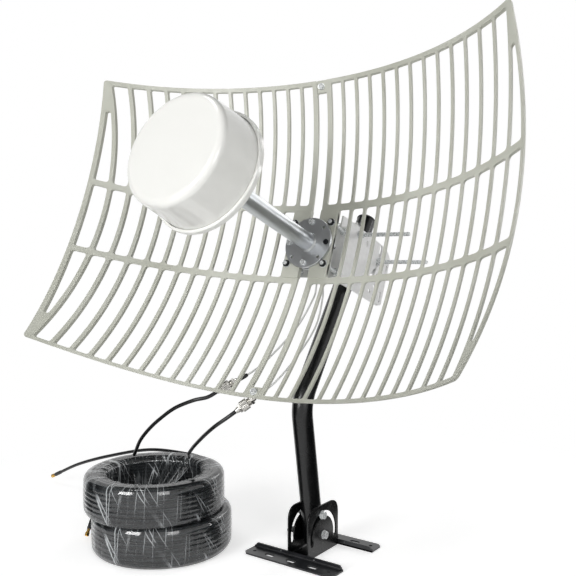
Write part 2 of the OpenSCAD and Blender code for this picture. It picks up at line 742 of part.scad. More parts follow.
tail_u = route([[-250, -18.5, coil2_top - 9], [-296, -16, 134], [-404, -20, 128], [-530, -22, 96],
    [-633, -22, 62], [-705, -20, 30]], 3);
tail_l = route([[-379.4, -150, coil_h - 8], [-386, -168, 58], [-387, -184, 42], [-385, -193, 30]], 2);
tail_shrink_l = 22;
sma_l = 14;
tway_u = last_way(tail_u);
tway_l = last_way(tail_l);
tend_u = tail_u[len(tail_u) - 1];
tend_l = tail_l[len(tail_l) - 1];

// Gold plug with its hexagon nut.
module sma(p, t) point_to(p, t) {
    cylinder(d = 6.4, h = sma_l);
    translate([0, 0, sma_l - 8]) hex(4.6, 7);
}

module tail_upper() color("#1b1c1e") hose(tail_u, feeder_d);
module tail_lower() color("#1b1c1e") hose(tail_l, feeder_d);
module tail_shrink_upper() color("#101113") point_to(tend_u, tway_u) cylinder(d = 8.5, h = tail_shrink_l);
module tail_shrink_lower() color("#101113") point_to(tend_l, tway_l) cylinder(d = 8.5, h = tail_shrink_l - 6);
module sma_upper() color("#c8a24a") sma(tend_u + tail_shrink_l * tway_u, tway_u);
module sma_lower() color("#c8a24a") sma(tend_l + (tail_shrink_l - 6) * tway_l, tway_l);

base_bracket();
foot_bar_front();
foot_bar_rear();
pivot_bolt();
pivot_washers();
pivot_nut();
lock_bolt();
lock_washers();
lock_nut();
mast();
mast_cap();
jaw_near();
jaw_far();
clamp_bolts();
clamp_washers();
clamp_nuts();
dish_bracket();
studs();
stud_nuts();
reflector_left();
reflector_right();
seam_screws();
seam_nuts();
backing_ring();
feed_tube();
feed_flange();
flange_bolts();
flange_socket_screw();
flange_nuts();
radome_back();
radome_cover();
feed_reflector();
feed_posts();
feed_board();
feed_leads();
tube_grommet();
pigtail_1();
pigtail_2();
shrink_1();
shrink_2();
jack_1();
jack_2();
plug_1();
plug_2();
feeder_1();
feeder_2();
coil_lower();
coil_upper();
tail_lower();
tail_upper();
tail_shrink_lower();
tail_shrink_upper();
sma_lower();
sma_upper();
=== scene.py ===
"""Parabolic grid antenna on its tilting mast foot, with two coils of feeder cable.

Makers work in millimetres; a mesh goes to metres and to its place when it is finished.
"""

import math
import random
from collections import namedtuple

import bmesh
import bpy
from mathutils import Matrix, Vector


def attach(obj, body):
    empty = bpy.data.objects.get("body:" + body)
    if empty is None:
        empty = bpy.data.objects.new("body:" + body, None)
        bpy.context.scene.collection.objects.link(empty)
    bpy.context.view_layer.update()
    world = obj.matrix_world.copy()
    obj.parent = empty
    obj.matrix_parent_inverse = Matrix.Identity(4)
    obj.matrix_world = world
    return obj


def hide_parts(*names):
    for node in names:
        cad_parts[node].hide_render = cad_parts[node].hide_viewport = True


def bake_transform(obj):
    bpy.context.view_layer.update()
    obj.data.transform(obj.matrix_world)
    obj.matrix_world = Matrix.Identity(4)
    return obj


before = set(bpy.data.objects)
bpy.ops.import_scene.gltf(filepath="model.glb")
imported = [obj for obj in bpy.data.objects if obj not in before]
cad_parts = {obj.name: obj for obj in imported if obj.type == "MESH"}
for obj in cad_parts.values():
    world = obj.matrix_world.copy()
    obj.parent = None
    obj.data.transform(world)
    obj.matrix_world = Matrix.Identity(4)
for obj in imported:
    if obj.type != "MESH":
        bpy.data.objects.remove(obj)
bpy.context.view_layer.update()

# Places -----------------------------------------------------------------------
AIM, UPPER_LEAN, LOWER_LEAN = 20.7, 35, 9.2      # degrees, as the antenna is set
PIVOT_Z, LOCK_R = 33.0, 38.0                     # pivot above the floor, lock bolt above the pivot
HOME = Matrix()


def shift(x=0, y=0, z=0):
    return Matrix.Translation((x, y, z))


def turned(degrees, axis="Z"):
    return Matrix.Rotation(math.radians(degrees), 4, axis)


DISH = shift(0, -7.381, 561.303) @ turned(90 - AIM, "X")
CLAMP = shift(0, 155.525, 555.334) @ turned(-UPPER_LEAN, "X")
LOWER = shift(z=PIVOT_Z) @ turned(LOWER_LEAN, "X")
ALONG_X = turned(90, "Y")
ON_EDGE = Matrix(((0, 0, 1, 0), (1, 0, 0, 0), (0, 1, 0, 0), (0, 0, 0, 1)))  # drawn x, y stand as y, z

# Sizes shared between pieces --------------------------------------------------
Bolt = namedtuple("Bolt", "r core pitch across head_t nut_t")     # core: radius under the thread
M8, M6 = Bolt(4.0, 3.3, 1.25, 13.0, 5.3, 6.5), Bolt(3.0, 2.7, 1.0, 10.0, 4, 5)
WASHER_R, WASHER_T = 8, 1.6
BOWL_R, CAST_T = 628.0, 4.5
HALF_W, HALF_H, RIM, BAR, PITCH = 439.0, 297.0, 6.5, 6.0, 30.2
BARS, CELL_R = 13, 6.0                 # bars to a side, corner of an opening
SEAM, EDGE = 10.5, 10.0                # half the gap between the two castings, and the bar beside it
FIRST = SEAM + EDGE / 2
RIB, RIB_W = 71.0, 11.0
GUSSET = 213.0                         # the corners are solid beyond this height
TOP_R = (400**2 + 31**2) / 62          # arcs through a drop of 31 at 400, and of 27 at 265
SIDE_R = (265**2 + 27**2) / 54
PAD_U, PAD_F, PAD_B = FIRST + PITCH + BAR / 2, 6.0, -3.0
SCREW_V = HALF_H - 7                   # seam screws, off the middle
FLANGE_R, RADOME_AT = 97 / 2, 296
SCREWS_R = 40                          # ring of screws in the flange
STUD = (FLANGE_R + M8.across / 2 / math.cos(math.pi / 6) + 0.3) / math.sqrt(2)   # its hexagon clears the flange
STUDS = [(u, v) for u in (-STUD, STUD) for v in (-STUD, STUD)]
MAST_R, MAST_BORE, MAST_FOOT = 19.0, 17.0, 16
LOWER_L, UPPER_L, CRANK_R = 247, 410, 75
SHEET, HOLE_M8, SLOT_M8 = 3, 4.3, 9.2  # sheet of foot and clamp, radius of its bolt holes, width of its slots
BOLTS_APART = 92                       # the two clamp bolts
BACK_W, SIDE_U = -43, 26.2             # rear of the square plate, near face of the side plate
CHEEK_IN = 19.6
FOOT_L, FOOT_W = 190, 38
FEEDER_R, PIGTAIL_R = 3.5, 1.75


# Shapes -----------------------------------------------------------------------
def spaced(a, b, n):
    return [a + (b - a) * k / n for k in range(n + 1)]


def walked(points, step=8.0):
    """A closed outline, with points about a step apart along its sides."""
    out = []
    for i, a in enumerate(points):
        b = points[(i + 1) % len(points)]
        n = max(1, round((b - a).length / step))
        out += [a.lerp(b, k / n) for k in range(n)]
    return out


def soften(points, radius, steps=4, closed=True, sharp=20):
    """Rounds the corners of an outline. radius is one number, or one for each point."""
    pts = [Vector(p) for p in points]
    n = len(pts)
    out = []
    for i, p in enumerate(pts):
        r = radius[i] if isinstance(radius, (list, tuple)) else radius
        if r <= 0 or (not closed and i in (0, n - 1)):
            out.append(p)
            continue
        a, b = pts[i - 1] - p, pts[(i + 1) % n] - p
        if a.length < 1e-6 or b.length < 1e-6:
            continue
        turn = math.pi - a.angle(b)
        if turn < math.radians(sharp):
            out.append(p)
            continue
        back = min(r * math.tan(turn / 2), 0.49 * a.length, 0.49 * b.length)
        if turn > 1.2 and a.length > 2 * r and b.length > 2 * r:
            back = r * math.tan(turn / 2)
        s, e = p + a.normalized() * back, p + b.normalized() * back
        for k in range(steps + 1):
            t = k / steps
            out.append(s * (1 - t) ** 2 + p * 2 * t * (1 - t) + e * t * t)
    return out


def ray(a, length):
    return Vector((math.cos(a), math.sin(a))) * length


def circle(r, at=(0, 0), steps=32):
    return [Vector(at) + ray(2 * math.pi * k / steps, r) for k in range(steps)]


def slot(length, width, at=(0, 0), degrees=0, steps=10):
    """Outline of a slot with round ends."""
    turn = Matrix.Rotation(math.radians(degrees), 2)
    centre = Vector(((length - width) / 2, 0))
    return [turn @ (side * (centre + ray(a, width / 2))) + Vector(at)
            for side in (1, -1) for a in spaced(-math.pi / 2, math.pi / 2, steps)]


def arc_slot(r, width, low, high, at=(0, 0), steps=30):
    """Outline of a slot along an arc; angles in degrees from +x."""
    low, high, half = math.radians(low), math.radians(high), width / 2
    sweep_of = spaced(low, high, steps)
    end = spaced(0, math.pi, 8)[1:-1]
    pts = [ray(a, r + half) for a in sweep_of]
    pts += [ray(high, r) + ray(high + a, half) for a in end]
    pts += [ray(a, r - half) for a in reversed(sweep_of)]
    pts += [ray(low, r) + ray(low + math.pi + a, half) for a in end]
    return [p + Vector(at) for p in pts]


def loop(bm, points):
    verts = [bm.verts.new((p[0], p[1], p[2] if len(p) > 2 else 0)) for p in points]
    return [bm.edges.new((verts[i - 1], verts[i])) for i in range(len(verts))]


def merged(bm, part, at=HOME):
    """Adds a part to a piece, at its place."""
    bmesh.ops.recalc_face_normals(part, faces=part.faces[:])
    part.transform(at)
    mesh = bpy.data.meshes.new("part")
    part.to_mesh(mesh)
    part.free()
    bm.from_mesh(mesh)
    bpy.data.meshes.remove(mesh)


def verts_of(geom):
    return [v for v in geom if isinstance(v, bmesh.types.BMVert)]


def flat_pattern(outline, holes):
    """A pattern with its holes and a second face on it; returns the mesh and the second face's vertices."""
    part = bmesh.new()
    edges = loop(part, outline)
    for hole in holes:
        edges += loop(part, hole)
    bmesh.ops.triangle_fill(part, use_beauty=True, edges=edges, normal=(0, 0, 1))
    grown = bmesh.ops.extrude_face_region(part, geom=part.faces[:] + part.edges[:], use_keep_orig=False)
    return part, verts_of(grown["geom"])


def plate(bm, outline, thick, holes=(), at=HOME, soft=0.4, segments=2):
    """A flat part cut to an outline, its faces at z 0 and thick, its rims softened."""
    part, top = flat_pattern(outline, holes)
    for v in top:
        v.co.z += thick
    finish_rims(part, soft, segments)
    merged(bm, part, at)


def finish_rims(part, soft, segments=2, angle=40):
    bmesh.ops.recalc_face_normals(part, faces=part.faces[:])
    if soft > 0:
        rims = [e for e in part.edges if len(e.link_faces) == 2 and e.calc_face_angle() > math.radians(angle)]
        bmesh.ops.bevel(part, geom=rims, offset=soft, offset_type="OFFSET", affect="EDGES", segments=segments,
                        profile=0.5, clamp_overlap=True, material=-1)


def spun(profile, steps, closed=False, turns=1, rise=0.0, weld=0.002):
    """A new mesh: a profile of (radius, height) points turned about the z axis."""
    part = bmesh.new()
    verts = [part.verts.new((r, 0, z)) for r, z in profile]
    last = len(verts) if closed else len(verts) - 1
    edges = [part.edges.new((verts[i], verts[(i + 1) % len(verts)])) for i in range(last)]
    bmesh.ops.spin(part, geom=verts + edges, cent=(0, 0, 0), axis=(0, 0, 1), angle=2 * math.pi * turns,
                   steps=steps * turns, dvec=(0, 0, rise))
    bmesh.ops.remove_doubles(part, verts=part.verts[:], dist=weld)
    return part


def lathe(bm, profile, at=HOME, steps=48, closed=False):
    merged(bm, spun(profile, steps, closed), at)


def turned_part(bm, profile, radii, at, steps, corner=2, closed=False):
    """A lathe part whose profile has rounded corners."""
    lathe(bm, soften(profile, radii, corner, closed=closed), at, steps, closed)


def rod(bm, r, length, at=HOME, soft=0.5, steps=40):
    turned_part(bm, [(0, 0), (r, 0), (r, length), (0, length)], soft, at, steps, 3)


def tube_part(bm, r, bore, length, at=HOME, soft=0.3, steps=40):
    turned_part(bm, [(bore, 0), (r, 0), (r, length), (bore, length)], soft, at, steps, closed=True)


def hexagon(bm, across, height, at=HOME, bore=0.0, both=False, dish=0.0):
    """Hexagon head or nut, its corners cut back by the turned chamfer."""
    part = bmesh.new()
    flat = across / 2
    corner, top_r = flat / math.cos(math.pi / 6), flat * 0.96
    edge = walked([ray(math.pi / 3 * k, corner) for k in range(6)], corner / 6)
    drops = [max(0.0, p.length - top_r) * math.tan(math.radians(30)) for p in edge]

    def ring(r, z):
        return loop(part, [(p.x, p.y, z) for p in circle(r, steps=36)])

    low = loop(part, [(p.x, p.y, drop if both else 0.0) for p, drop in zip(edge, drops)])
    high = loop(part, [(p.x, p.y, height - drop) for p, drop in zip(edge, drops)])
    bmesh.ops.bridge_loops(part, edges=low + high)
    for level, edges in ((0.0, low), (height, high)):
        r = top_r if (level or both) else flat * 0.93
        inner = ring(r, level)
        bmesh.ops.bridge_loops(part, edges=edges + inner)
        if bore:
            mouth = ring(bore + 0.5, level)
            bmesh.ops.bridge_loops(part, edges=inner + mouth)
            bmesh.ops.bridge_loops(part, edges=mouth + ring(bore, level - 0.5 if level else 0.5))
        else:
            middle = ring(r * 0.8, level - (dish if level else 0))
            bmesh.ops.bridge_loops(part, edges=inner + middle)
            bmesh.ops.contextual_create(part, geom=middle)
    if bore:
        bmesh.ops.bridge_loops(part, edges=[e for e in part.edges if len(e.link_faces) == 1])
    merged(bm, part, at)


def thread(bm, r, length, pitch, at=HOME, steps=20):
    """A thread: its tooth wound up the rod."""
    root = r - 0.6 * pitch
    tooth = [(root, 0), (r, 0.42 * pitch), (r, 0.58 * pitch), (root, pitch)]
    part = spun(tooth, steps, turns=max(1, int(length / pitch)), rise=pitch / steps, weld=0.01)
    lathe(part, [(0, 0), (root, 0), (root, length), (0, length)])
    merged(bm, part, at)


def shank(bm, size, length, threaded, at, from_end=0.0, soft=0.5, steps=40):
    """A bolt's shank, with its thread beginning near the end at z 0."""
    rod(bm, size.core, length, at, soft, steps)
    thread(bm, size.r, threaded, size.pitch, at @ shift(z=from_end))


def nut(bm, size, at):
    hexagon(bm, size.across, size.nut_t, at, bore=size.r, both=True)


def washer(bm, at, r=WASHER_R, bore=M8.r, thick=WASHER_T):
    tube_part(bm, r, bore, thick, at)


def knurled(bm, r, length, at=HOME, teeth=40, depth=0.35, soft=0.6):
    """A turned nut with a straight knurl."""
    part = spun(soften([(0, 0), (r, 0), (r, length), (0, length)], soft, 3, closed=False), teeth * 2)
    for v in part.verts:
        out = math.hypot(v.co.x, v.co.y)
        groove = round(math.atan2(v.co.y, v.co.x) / (math.pi / teeth)) % 2
        if groove and (out > r - 0.3 or (out > r - 0.8 and 0.8 < v.co.z < length - 0.8)):
            v.co.x *= 1 - depth / out
            v.co.y *= 1 - depth / out
    merged(bm, part, at)


def beside(way):
    """A direction square to this one."""
    return way.cross(Vector((0, 0, 1)) if abs(way.z) < 0.9 else Vector((0, 1, 0))).normalized()


def sweep(bm, points, r, sides=16, caps=True):
    """Round tube along points, the section carried without twist."""
    pts = [Vector(p) for p in points]
    part = bmesh.new()
    section = circle(r, steps=sides)
    side = None
    rings = []
    for i, p in enumerate(pts):
        way = (pts[min(i + 1, len(pts) - 1)] - pts[max(i - 1, 0)]).normalized()
        if side is None:
            side = beside(way)
        side = (side - side.dot(way) * way).normalized()
        up = way.cross(side)
        rings.append(loop(part, [p + c.x * side + c.y * up for c in section]))
    for a, b in zip(rings, rings[1:]):
        bmesh.ops.bridge_loops(part, edges=a + b)
    if caps:
        for edges in (rings[0], rings[-1]):
            bmesh.ops.contextual_create(part, geom=edges)
    merged(bm, part)


def linked(name, data):
    obj = bpy.data.objects.new(name, data)
    bpy.context.scene.collection.objects.link(obj)
    return obj


def piece(name, bm, paint_key, body, stands_for=(), at=HOME, sharp=32):
    """Finishes a mesh in its place, paints it, and ties it to its body."""
    bm.transform(Matrix.Scale(0.001, 4) @ at)
    mesh = bpy.data.meshes.new(name)
    bm.to_mesh(mesh)
    bm.free()
    obj = linked(name, mesh)
    material, slot_name = PAINT[paint_key]
    mesh.materials.append(material)
    mesh.shade_smooth()
    mesh.set_sharp_from_angle(angle=math.radians(sharp))
    level = obj.modifiers.new("flat_faces_stay_flat", "WEIGHTED_NORMAL")
    level.keep_sharp = True
    if body:
        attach(obj, body)
    if stands_for:
        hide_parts(*([stands_for] if isinstance(stands_for, str) else stands_for))
    return obj


# Materials --------------------------------------------------------------------
def colour(text):
    """A hex colour as the linear numbers that a shader takes."""
    out = []
    for i in (0, 2, 4):
        c = int(text.lstrip("#")[i:i + 2], 16) / 255
        out.append(c / 12.92 if c <= 0.04045 else ((c + 0.055) / 1.055) ** 2.4)
    return (*out, 1.0)


def add(tree, kind, sockets=None, **settings):
    """Adds a node; a socket takes a value or another node's output."""
    node = tree.nodes.new("ShaderNode" + kind)
    for key, value in settings.items():
        setattr(node, key, value)
    for key, value in (sockets or {}).items():
        if isinstance(value, bpy.types.NodeSocket):
            tree.links.new(value, node.inputs[key])
        else:
            node.inputs[key].default_value = value
    return node


def paint(name, base, rough, metallic=0.0, **shader):
    """A material with its own shader; returns it with its tree and shader, for more nodes."""
    mat = bpy.data.materials.new(name)
    mat.use_nodes = True
    tree = mat.node_tree
    tree.nodes.clear()
    out = add(tree, "OutputMaterial")
    bsdf = add(tree, "BsdfPrincipled", {"Base Color": colour(base), "Roughness": rough, "Metallic": metallic})
    for key, value in shader.items():
        bsdf.inputs[key.replace("_", " ")].default_value = value
    tree.links.new(bsdf.outputs["BSDF"], out.inputs["Surface"])
    return mat, tree, bsdf


def metres(tree, at=HOME, stretch=(1, 1, 1)):
    """Object coordinates seen from a place on the object, so that a pattern lies along the piece."""
    back = at.inverted()
    placed = add(tree, "Mapping", {"Vector": add(tree, "TexCoord").outputs["Object"],
                                   "Location": back.translation * 0.001, "Rotation": back.to_euler()})
    return add(tree, "Mapping", {"Vector": placed.outputs["Vector"], "Scale": stretch}).outputs["Vector"]


def grain(tree, size_mm, detail=2.0, at=HOME, stretch=(1, 1, 1)):
    """Noise whose spots are about size_mm across."""
    return add(tree, "TexNoise", {"Vector": metres(tree, at, stretch), "Scale": 1000.0 / size_mm,
                                  "Detail": detail}).outputs["Fac"]


def spread(tree, value, low, high, a=0.3, b=0.7):
    """The value from a to b turned into low to high."""
    return add(tree, "MapRange", {"Value": value, "From Min": a, "From Max": b,
                                  "To Min": low, "To Max": high}).outputs["Result"]


def shade(tree, value, dark, light, a=0.3, b=0.7):
    fac = spread(tree, value, 0.0, 1.0, a, b)
    return add(tree, "Mix", {"Factor": fac, "A": colour(dark), "B": colour(light)},
               data_type="RGBA").outputs["Result"]


def plug_in(tree, value, bsdf, socket):
    tree.links.new(value, bsdf.inputs[socket])


def relief(tree, bsdf, value, depth_mm, strength=1.0):
    bump = add(tree, "Bump", {"Height": value, "Distance": depth_mm * 0.001, "Strength": strength})
    plug_in(tree, bump.outputs["Normal"], bsdf, "Normal")


def clouded(tree, bsdf, size_mm, detail, dark, light):
    """The colour wanders between two, in spots of a size."""
    plug_in(tree, shade(tree, grain(tree, size_mm, detail), dark, light), bsdf, "Base Color")


def uneven(tree, bsdf, size_mm, detail, low, high):
    """The roughness wanders between two, in spots of a size."""
    plug_in(tree, spread(tree, grain(tree, size_mm, detail), low, high), bsdf, "Roughness")


def grid_paint():
    """Cast aluminium grid under satin warm grey powder: soft, faintly pebbled, a little darker in places."""
    mat, tree, bsdf = paint("grid_satin_grey_powder", "#bebfb4", 0.42)
    clouded(tree, bsdf, 90, 3, "#b6b7ab", "#c4c5bb")
    uneven(tree, bsdf, 12, 3, 0.36, 0.5)
    relief(tree, bsdf, grain(tree, 2.4, 2), 0.02, 0.3)
    return mat


def turned_aluminium():
    """Flange and collar faced on a lathe: even satin grey, with rings too fine to count about the feed's axis."""
    mat, tree, bsdf = paint("aluminium_turned", "#c4c6c8", 0.34, 0.82)
    rings = add(tree, "TexWave", {"Vector": metres(tree, DISH), "Scale": 320.0, "Distortion": 0.3},
                wave_type="RINGS", rings_direction="Z")
    plug_in(tree, spread(tree, rings.outputs["Fac"], 0.3, 0.38, 0.0, 1.0), bsdf, "Roughness")
    return mat


def drawn_aluminium():
    """Feed tube, drawn and satin anodised: long hairlines down its length."""
    mat, tree, bsdf = paint("aluminium_drawn_satin", "#cdd0d3", 0.34, 0.9)
    lines = grain(tree, 0.5, 2, DISH, (1, 1, 0.01))
    relief(tree, bsdf, lines, 0.01, 0.4)
    plug_in(tree, spread(tree, lines, 0.28, 0.42), bsdf, "Roughness")
    return mat


def moulded_white():
    """Radome moulded in glossy white plastic, clean and barely waved by the mould."""
    mat, tree, bsdf = paint("abs_gloss_white_moulded", "#efefeb", 0.13, Coat_Weight=0.3, Coat_Roughness=0.05)
    relief(tree, bsdf, grain(tree, 45, 1), 0.06, 0.25)
    uneven(tree, bsdf, 30, 3, 0.1, 0.17)
    return mat


def zinc_plate():
    """Bright zinc on bolts: cool silver, a faint mottle from the bath."""
    mat, tree, bsdf = paint("steel_bright_zinc", "#d8dadb", 0.28, 0.35)
    clouded(tree, bsdf, 3, 4, "#d2d5d6", "#e8eaea")
    uneven(tree, bsdf, 3, 4, 0.2, 0.36)
    return mat


def galvanised():
    """Bracket sheet in bright zinc: nearly white, with soft cloudy grains and a satin shine."""
    mat, tree, bsdf = paint("steel_sheet_galvanised", "#f4f4f3", 0.36, 0.04)
    clouded(tree, bsdf, 9, 3, "#f0f0ef", "#f8f8f7")
    uneven(tree, bsdf, 6, 4, 0.3, 0.42)
    return mat


def black_oxide():
    """Studs blackened in an oxide bath: dark, oily, still metal."""
    mat, tree, bsdf = paint("steel_black_oxide", "#26272a", 0.38, 0.8)
    uneven(tree, bsdf, 4, 3, 0.3, 0.5)
    return mat


def black_powder():
    """Mast and cheeks in satin black powder: a broad soft highlight over fine orange peel."""
    mat, tree, bsdf = paint("steel_black_powder", "#08090a", 0.24)
    relief(tree, bsdf, grain(tree, 2.5, 2), 0.02, 0.25)
    uneven(tree, bsdf, 25, 4, 0.2, 0.3)
    return mat


def grey_powder():
    """Foot bars in dark grey powder, with greyer patches painted into the colour as the sheen where the light lies
    flat on them.
    """
    mat, tree, bsdf = paint("steel_dark_grey_powder", "#1a1b1d", 0.3)
    relief(tree, bsdf, grain(tree, 1.6, 2), 0.04, 0.4)
    # painted sheen: the colour turns greyer in patches, standing in for light lying flat on the bars
    clouded(tree, bsdf, 30, 4, "#121315", "#26272a")
    return mat


def soft_black(name, base, rough, peel=0.6):
    """Rubber, heat-shrink and cap plastic: matt black with a fine skin."""
    mat, tree, bsdf = paint(name, base, rough)
    relief(tree, bsdf, grain(tree, peel, 3), 0.03, 0.5)
    uneven(tree, bsdf, 6, 3, rough - 0.06, rough + 0.1)
    return mat


def nickel():
    """Connector bodies in nickel: bright, warm silver."""
    mat, tree, bsdf = paint("brass_nickel_plated", "#cfcdc8", 0.2, 1.0)
    uneven(tree, bsdf, 2.5, 3, 0.15, 0.3)
    return mat


def gold():
    """Small plugs in gold flash over brass."""
    mat, tree, bsdf = paint("brass_gold_plated", "#d9b262", 0.22, 1.0)
    uneven(tree, bsdf, 2, 3, 0.18, 0.32)
    return mat


def circuit_board():
    """Board inside the radome: green laminate."""
    mat, tree, bsdf = paint("circuit_board_green", "#2f5f3f", 0.35)
    clouded(tree, bsdf, 3, 3, "#2a5739", "#386b49")
    return mat


def copper():
    """Leads inside the feed: semi-rigid copper cable."""
    mat, tree, bsdf = paint("copper_semi_rigid", "#c17f59", 0.3, 1.0)
    uneven(tree, bsdf, 2, 3, 0.25, 0.4)
    return mat


def in_film(tree, stretch, degrees=0):
    """The film's own map, metres round and across, turned and then stretched."""
    where = add(tree, "TexCoord").outputs["UV"]
    if degrees:
        where = add(tree, "Mapping", {"Vector": where, "Rotation": (0, 0, math.radians(degrees))}).outputs["Vector"]
    return add(tree, "Mapping", {"Vector": where, "Scale": (1, stretch, 1)}).outputs["Vector"]


def pull_lines(tree, degrees, apart_mm, thin):
    """Long thin bright lines in the film, wandering a little, at an angle to its height."""
    hills = add(tree, "TexNoise", {"Vector": in_film(tree, 0.05, degrees), "Scale": 1000 / apart_mm, "Detail": 0.0})
    from_half = add(tree, "Math", {0: hills.outputs["Fac"], 1: 0.5}, operation="SUBTRACT")
    size = add(tree, "Math", {0: from_half.outputs[0]}, operation="ABSOLUTE")
    return spread(tree, size.outputs[0], 1.0, 0.0, 0.0, thin)


def stretch_film():
    """Clear stretch film tight on black turns: dark and wet-looking, with milky patches, white pull lines and a
    painted highlight along each turn.
    """
    mat, tree, bsdf = paint("pe_stretch_film", "#212427", 0.08, Alpha=0.62, IOR=1.85)
    milk = add(tree, "TexNoise", {"Vector": in_film(tree, 0.5), "Scale": 24.0, "Detail": 2.0}).outputs["Fac"]
    fine = add(tree, "Math", {0: pull_lines(tree, 3, 12, 0.03), 1: pull_lines(tree, -30, 17, 0.02)},
               operation="MAXIMUM")
    patchy = add(tree, "Math", {0: fine.outputs[0], 1: spread(tree, milk, 0.1, 0.9, 0.42, 0.6)},
                 operation="MULTIPLY")
    white = add(tree, "Math", {0: spread(tree, milk, 0.0, 0.1, 0.45, 0.7), 1: patchy.outputs[0]},
                operation="ADD", use_clamp=True).outputs[0]
    # a wave's bands lie 0.314 / scale apart, so 40.3 puts one on each turn, 7.8 mm apart
    turns = add(tree, "TexWave", {"Vector": in_film(tree, 1), "Scale": 40.3, "Distortion": 1.2, "Detail": 1.0,
                                  "Detail Scale": 0.6}, wave_type="BANDS", bands_direction="Y").outputs["Fac"]
    # dark where the black turns show through, with a lighter band painted on each turn: a painted highlight along
    # its ridge
    under = shade(tree, turns, "#17191b", "#33383b", 0.55, 1.0)
    lined = add(tree, "Mix", {"Factor": white, "A": under, "B": colour("#d4d8da")}, data_type="RGBA")
    plug_in(tree, lined.outputs["Result"], bsdf, "Base Color")
    relief(tree, bsdf, turns, 0.5, 0.5)
    plug_in(tree, spread(tree, white, 0.62, 0.95, 0.0, 1.0), bsdf, "Alpha")
    return mat


# each paint with the slot of the record that it stands for
PAINT = {
    "grid": (grid_paint(), "reflector_paint"),
    "white": (moulded_white(), "white_plastic"),
    "turned": (turned_aluminium(), "aluminium"),
    "drawn": (drawn_aluminium(), "aluminium"),
    "zinc": (zinc_plate(), "zinc"),
    "galvanised": (galvanised(), "galvanised"),
    "oxide": (black_oxide(), "black_steel"),
    "black": (black_powder(), "black_paint"),
    "grey": (grey_powder(), "grey_paint"),
    "rubber": (soft_black("rubber_black_moulded", "#0b0c0d", 0.5), "black_rubber"),
    "shrink": (soft_black("heat_shrink_black", "#121315", 0.42, 0.9), "shrink"),
    "jacket": (soft_black("pe_jacket_black_extruded", "#0e0f10", 0.3, 0.5), "black_jacket"),
    "pale": (soft_black("pvc_jacket_pale_grey", "#d3d4d2", 0.4, 0.8), "pale_jacket"),
    "nickel": (nickel(), "nickel"),
    "gold": (gold(), "gold"),
    "film": (stretch_film(), None),
    "board": (circuit_board(), None),
    "copper": (copper(), None),
}


# Cables -----------------------------------------------------------------------
def from_dish(u, v, w):
    return DISH @ Vector((u, v, w))


def route(points, n=12):
    """Smooth curve through the route points, n steps to a stretch."""
    pts = [Vector(p) for p in points]
    out = []
    for i in range(len(pts) - 1):
        a, b, c, d = pts[max(i - 1, 0)], pts[i], pts[i + 1], pts[min(i + 2, len(pts) - 1)]
        for k in range(n):
            t = k / n
            out.append(0.5 * (2 * b + (c - a) * t + (2 * a - 5 * b + 4 * c - d) * t * t
                              + (3 * b - a - 3 * c + d) * t ** 3))
    return out + [pts[-1]]


def cable_end(points):
    """Where a cable ends, the way it points there, and the place of its end pieces, with z that way."""
    end, coarse = Vector(points[-1]), route(points, 3)
    way = (coarse[-1] - coarse[-2]).normalized()
    side = beside(way)
    return end, way, Matrix.Translation(end) @ Matrix((side, way.cross(side), way)).transposed().to_4x4()


def run_length(points):
    return sum((b - a).length for a, b in zip(points, points[1:])) * 0.001


COIL_1, COIL_2 = Vector((-249, -138, 0)), Vector((-257, -150, 70.8))
COIL_TOP = 141.3
COIL_OUT, COIL_IN, COIL_H = 128.0, 88.0, 70.5
TURN_Z, RIDGES = 3.8, 7.8              # middle of the lowest turns, and how far apart they show in the film
PIG_1 = [from_dish(-5, 0, -14), from_dish(-5, 0, -24), from_dish(-4, -10, -32), (0, 14, 520), (4, 4, 484),
         (-8, 10, 459), (-38, -3, 404), (-68, -52, 349), (-82, -73, 331), (-90, -82, 324)]
PIG_2 = [from_dish(5, 0, -14), from_dish(5, 0, -24), from_dish(7, -10, -32), (14, 13, 520), (18, 5, 486),
         (12, 12, 460), (6, -2, 410), (-4, -50, 358), (-25, -80, 319), (-41, -94, 302)]
TAIL_U = [(-250, -18.5, COIL_TOP - 9), (-296, -16, 134), (-404, -20, 128), (-530, -22, 96), (-633, -22, 62),
          (-705, -20, 30)]
TAIL_L = [(-379.4, -150, 62.5), (-386, -168, 58), (-387, -184, 42), (-385, -193, 30)]
SHRINK, JACK, PLUG, SMA = 20.0, 16.0, 26.0, 14.0


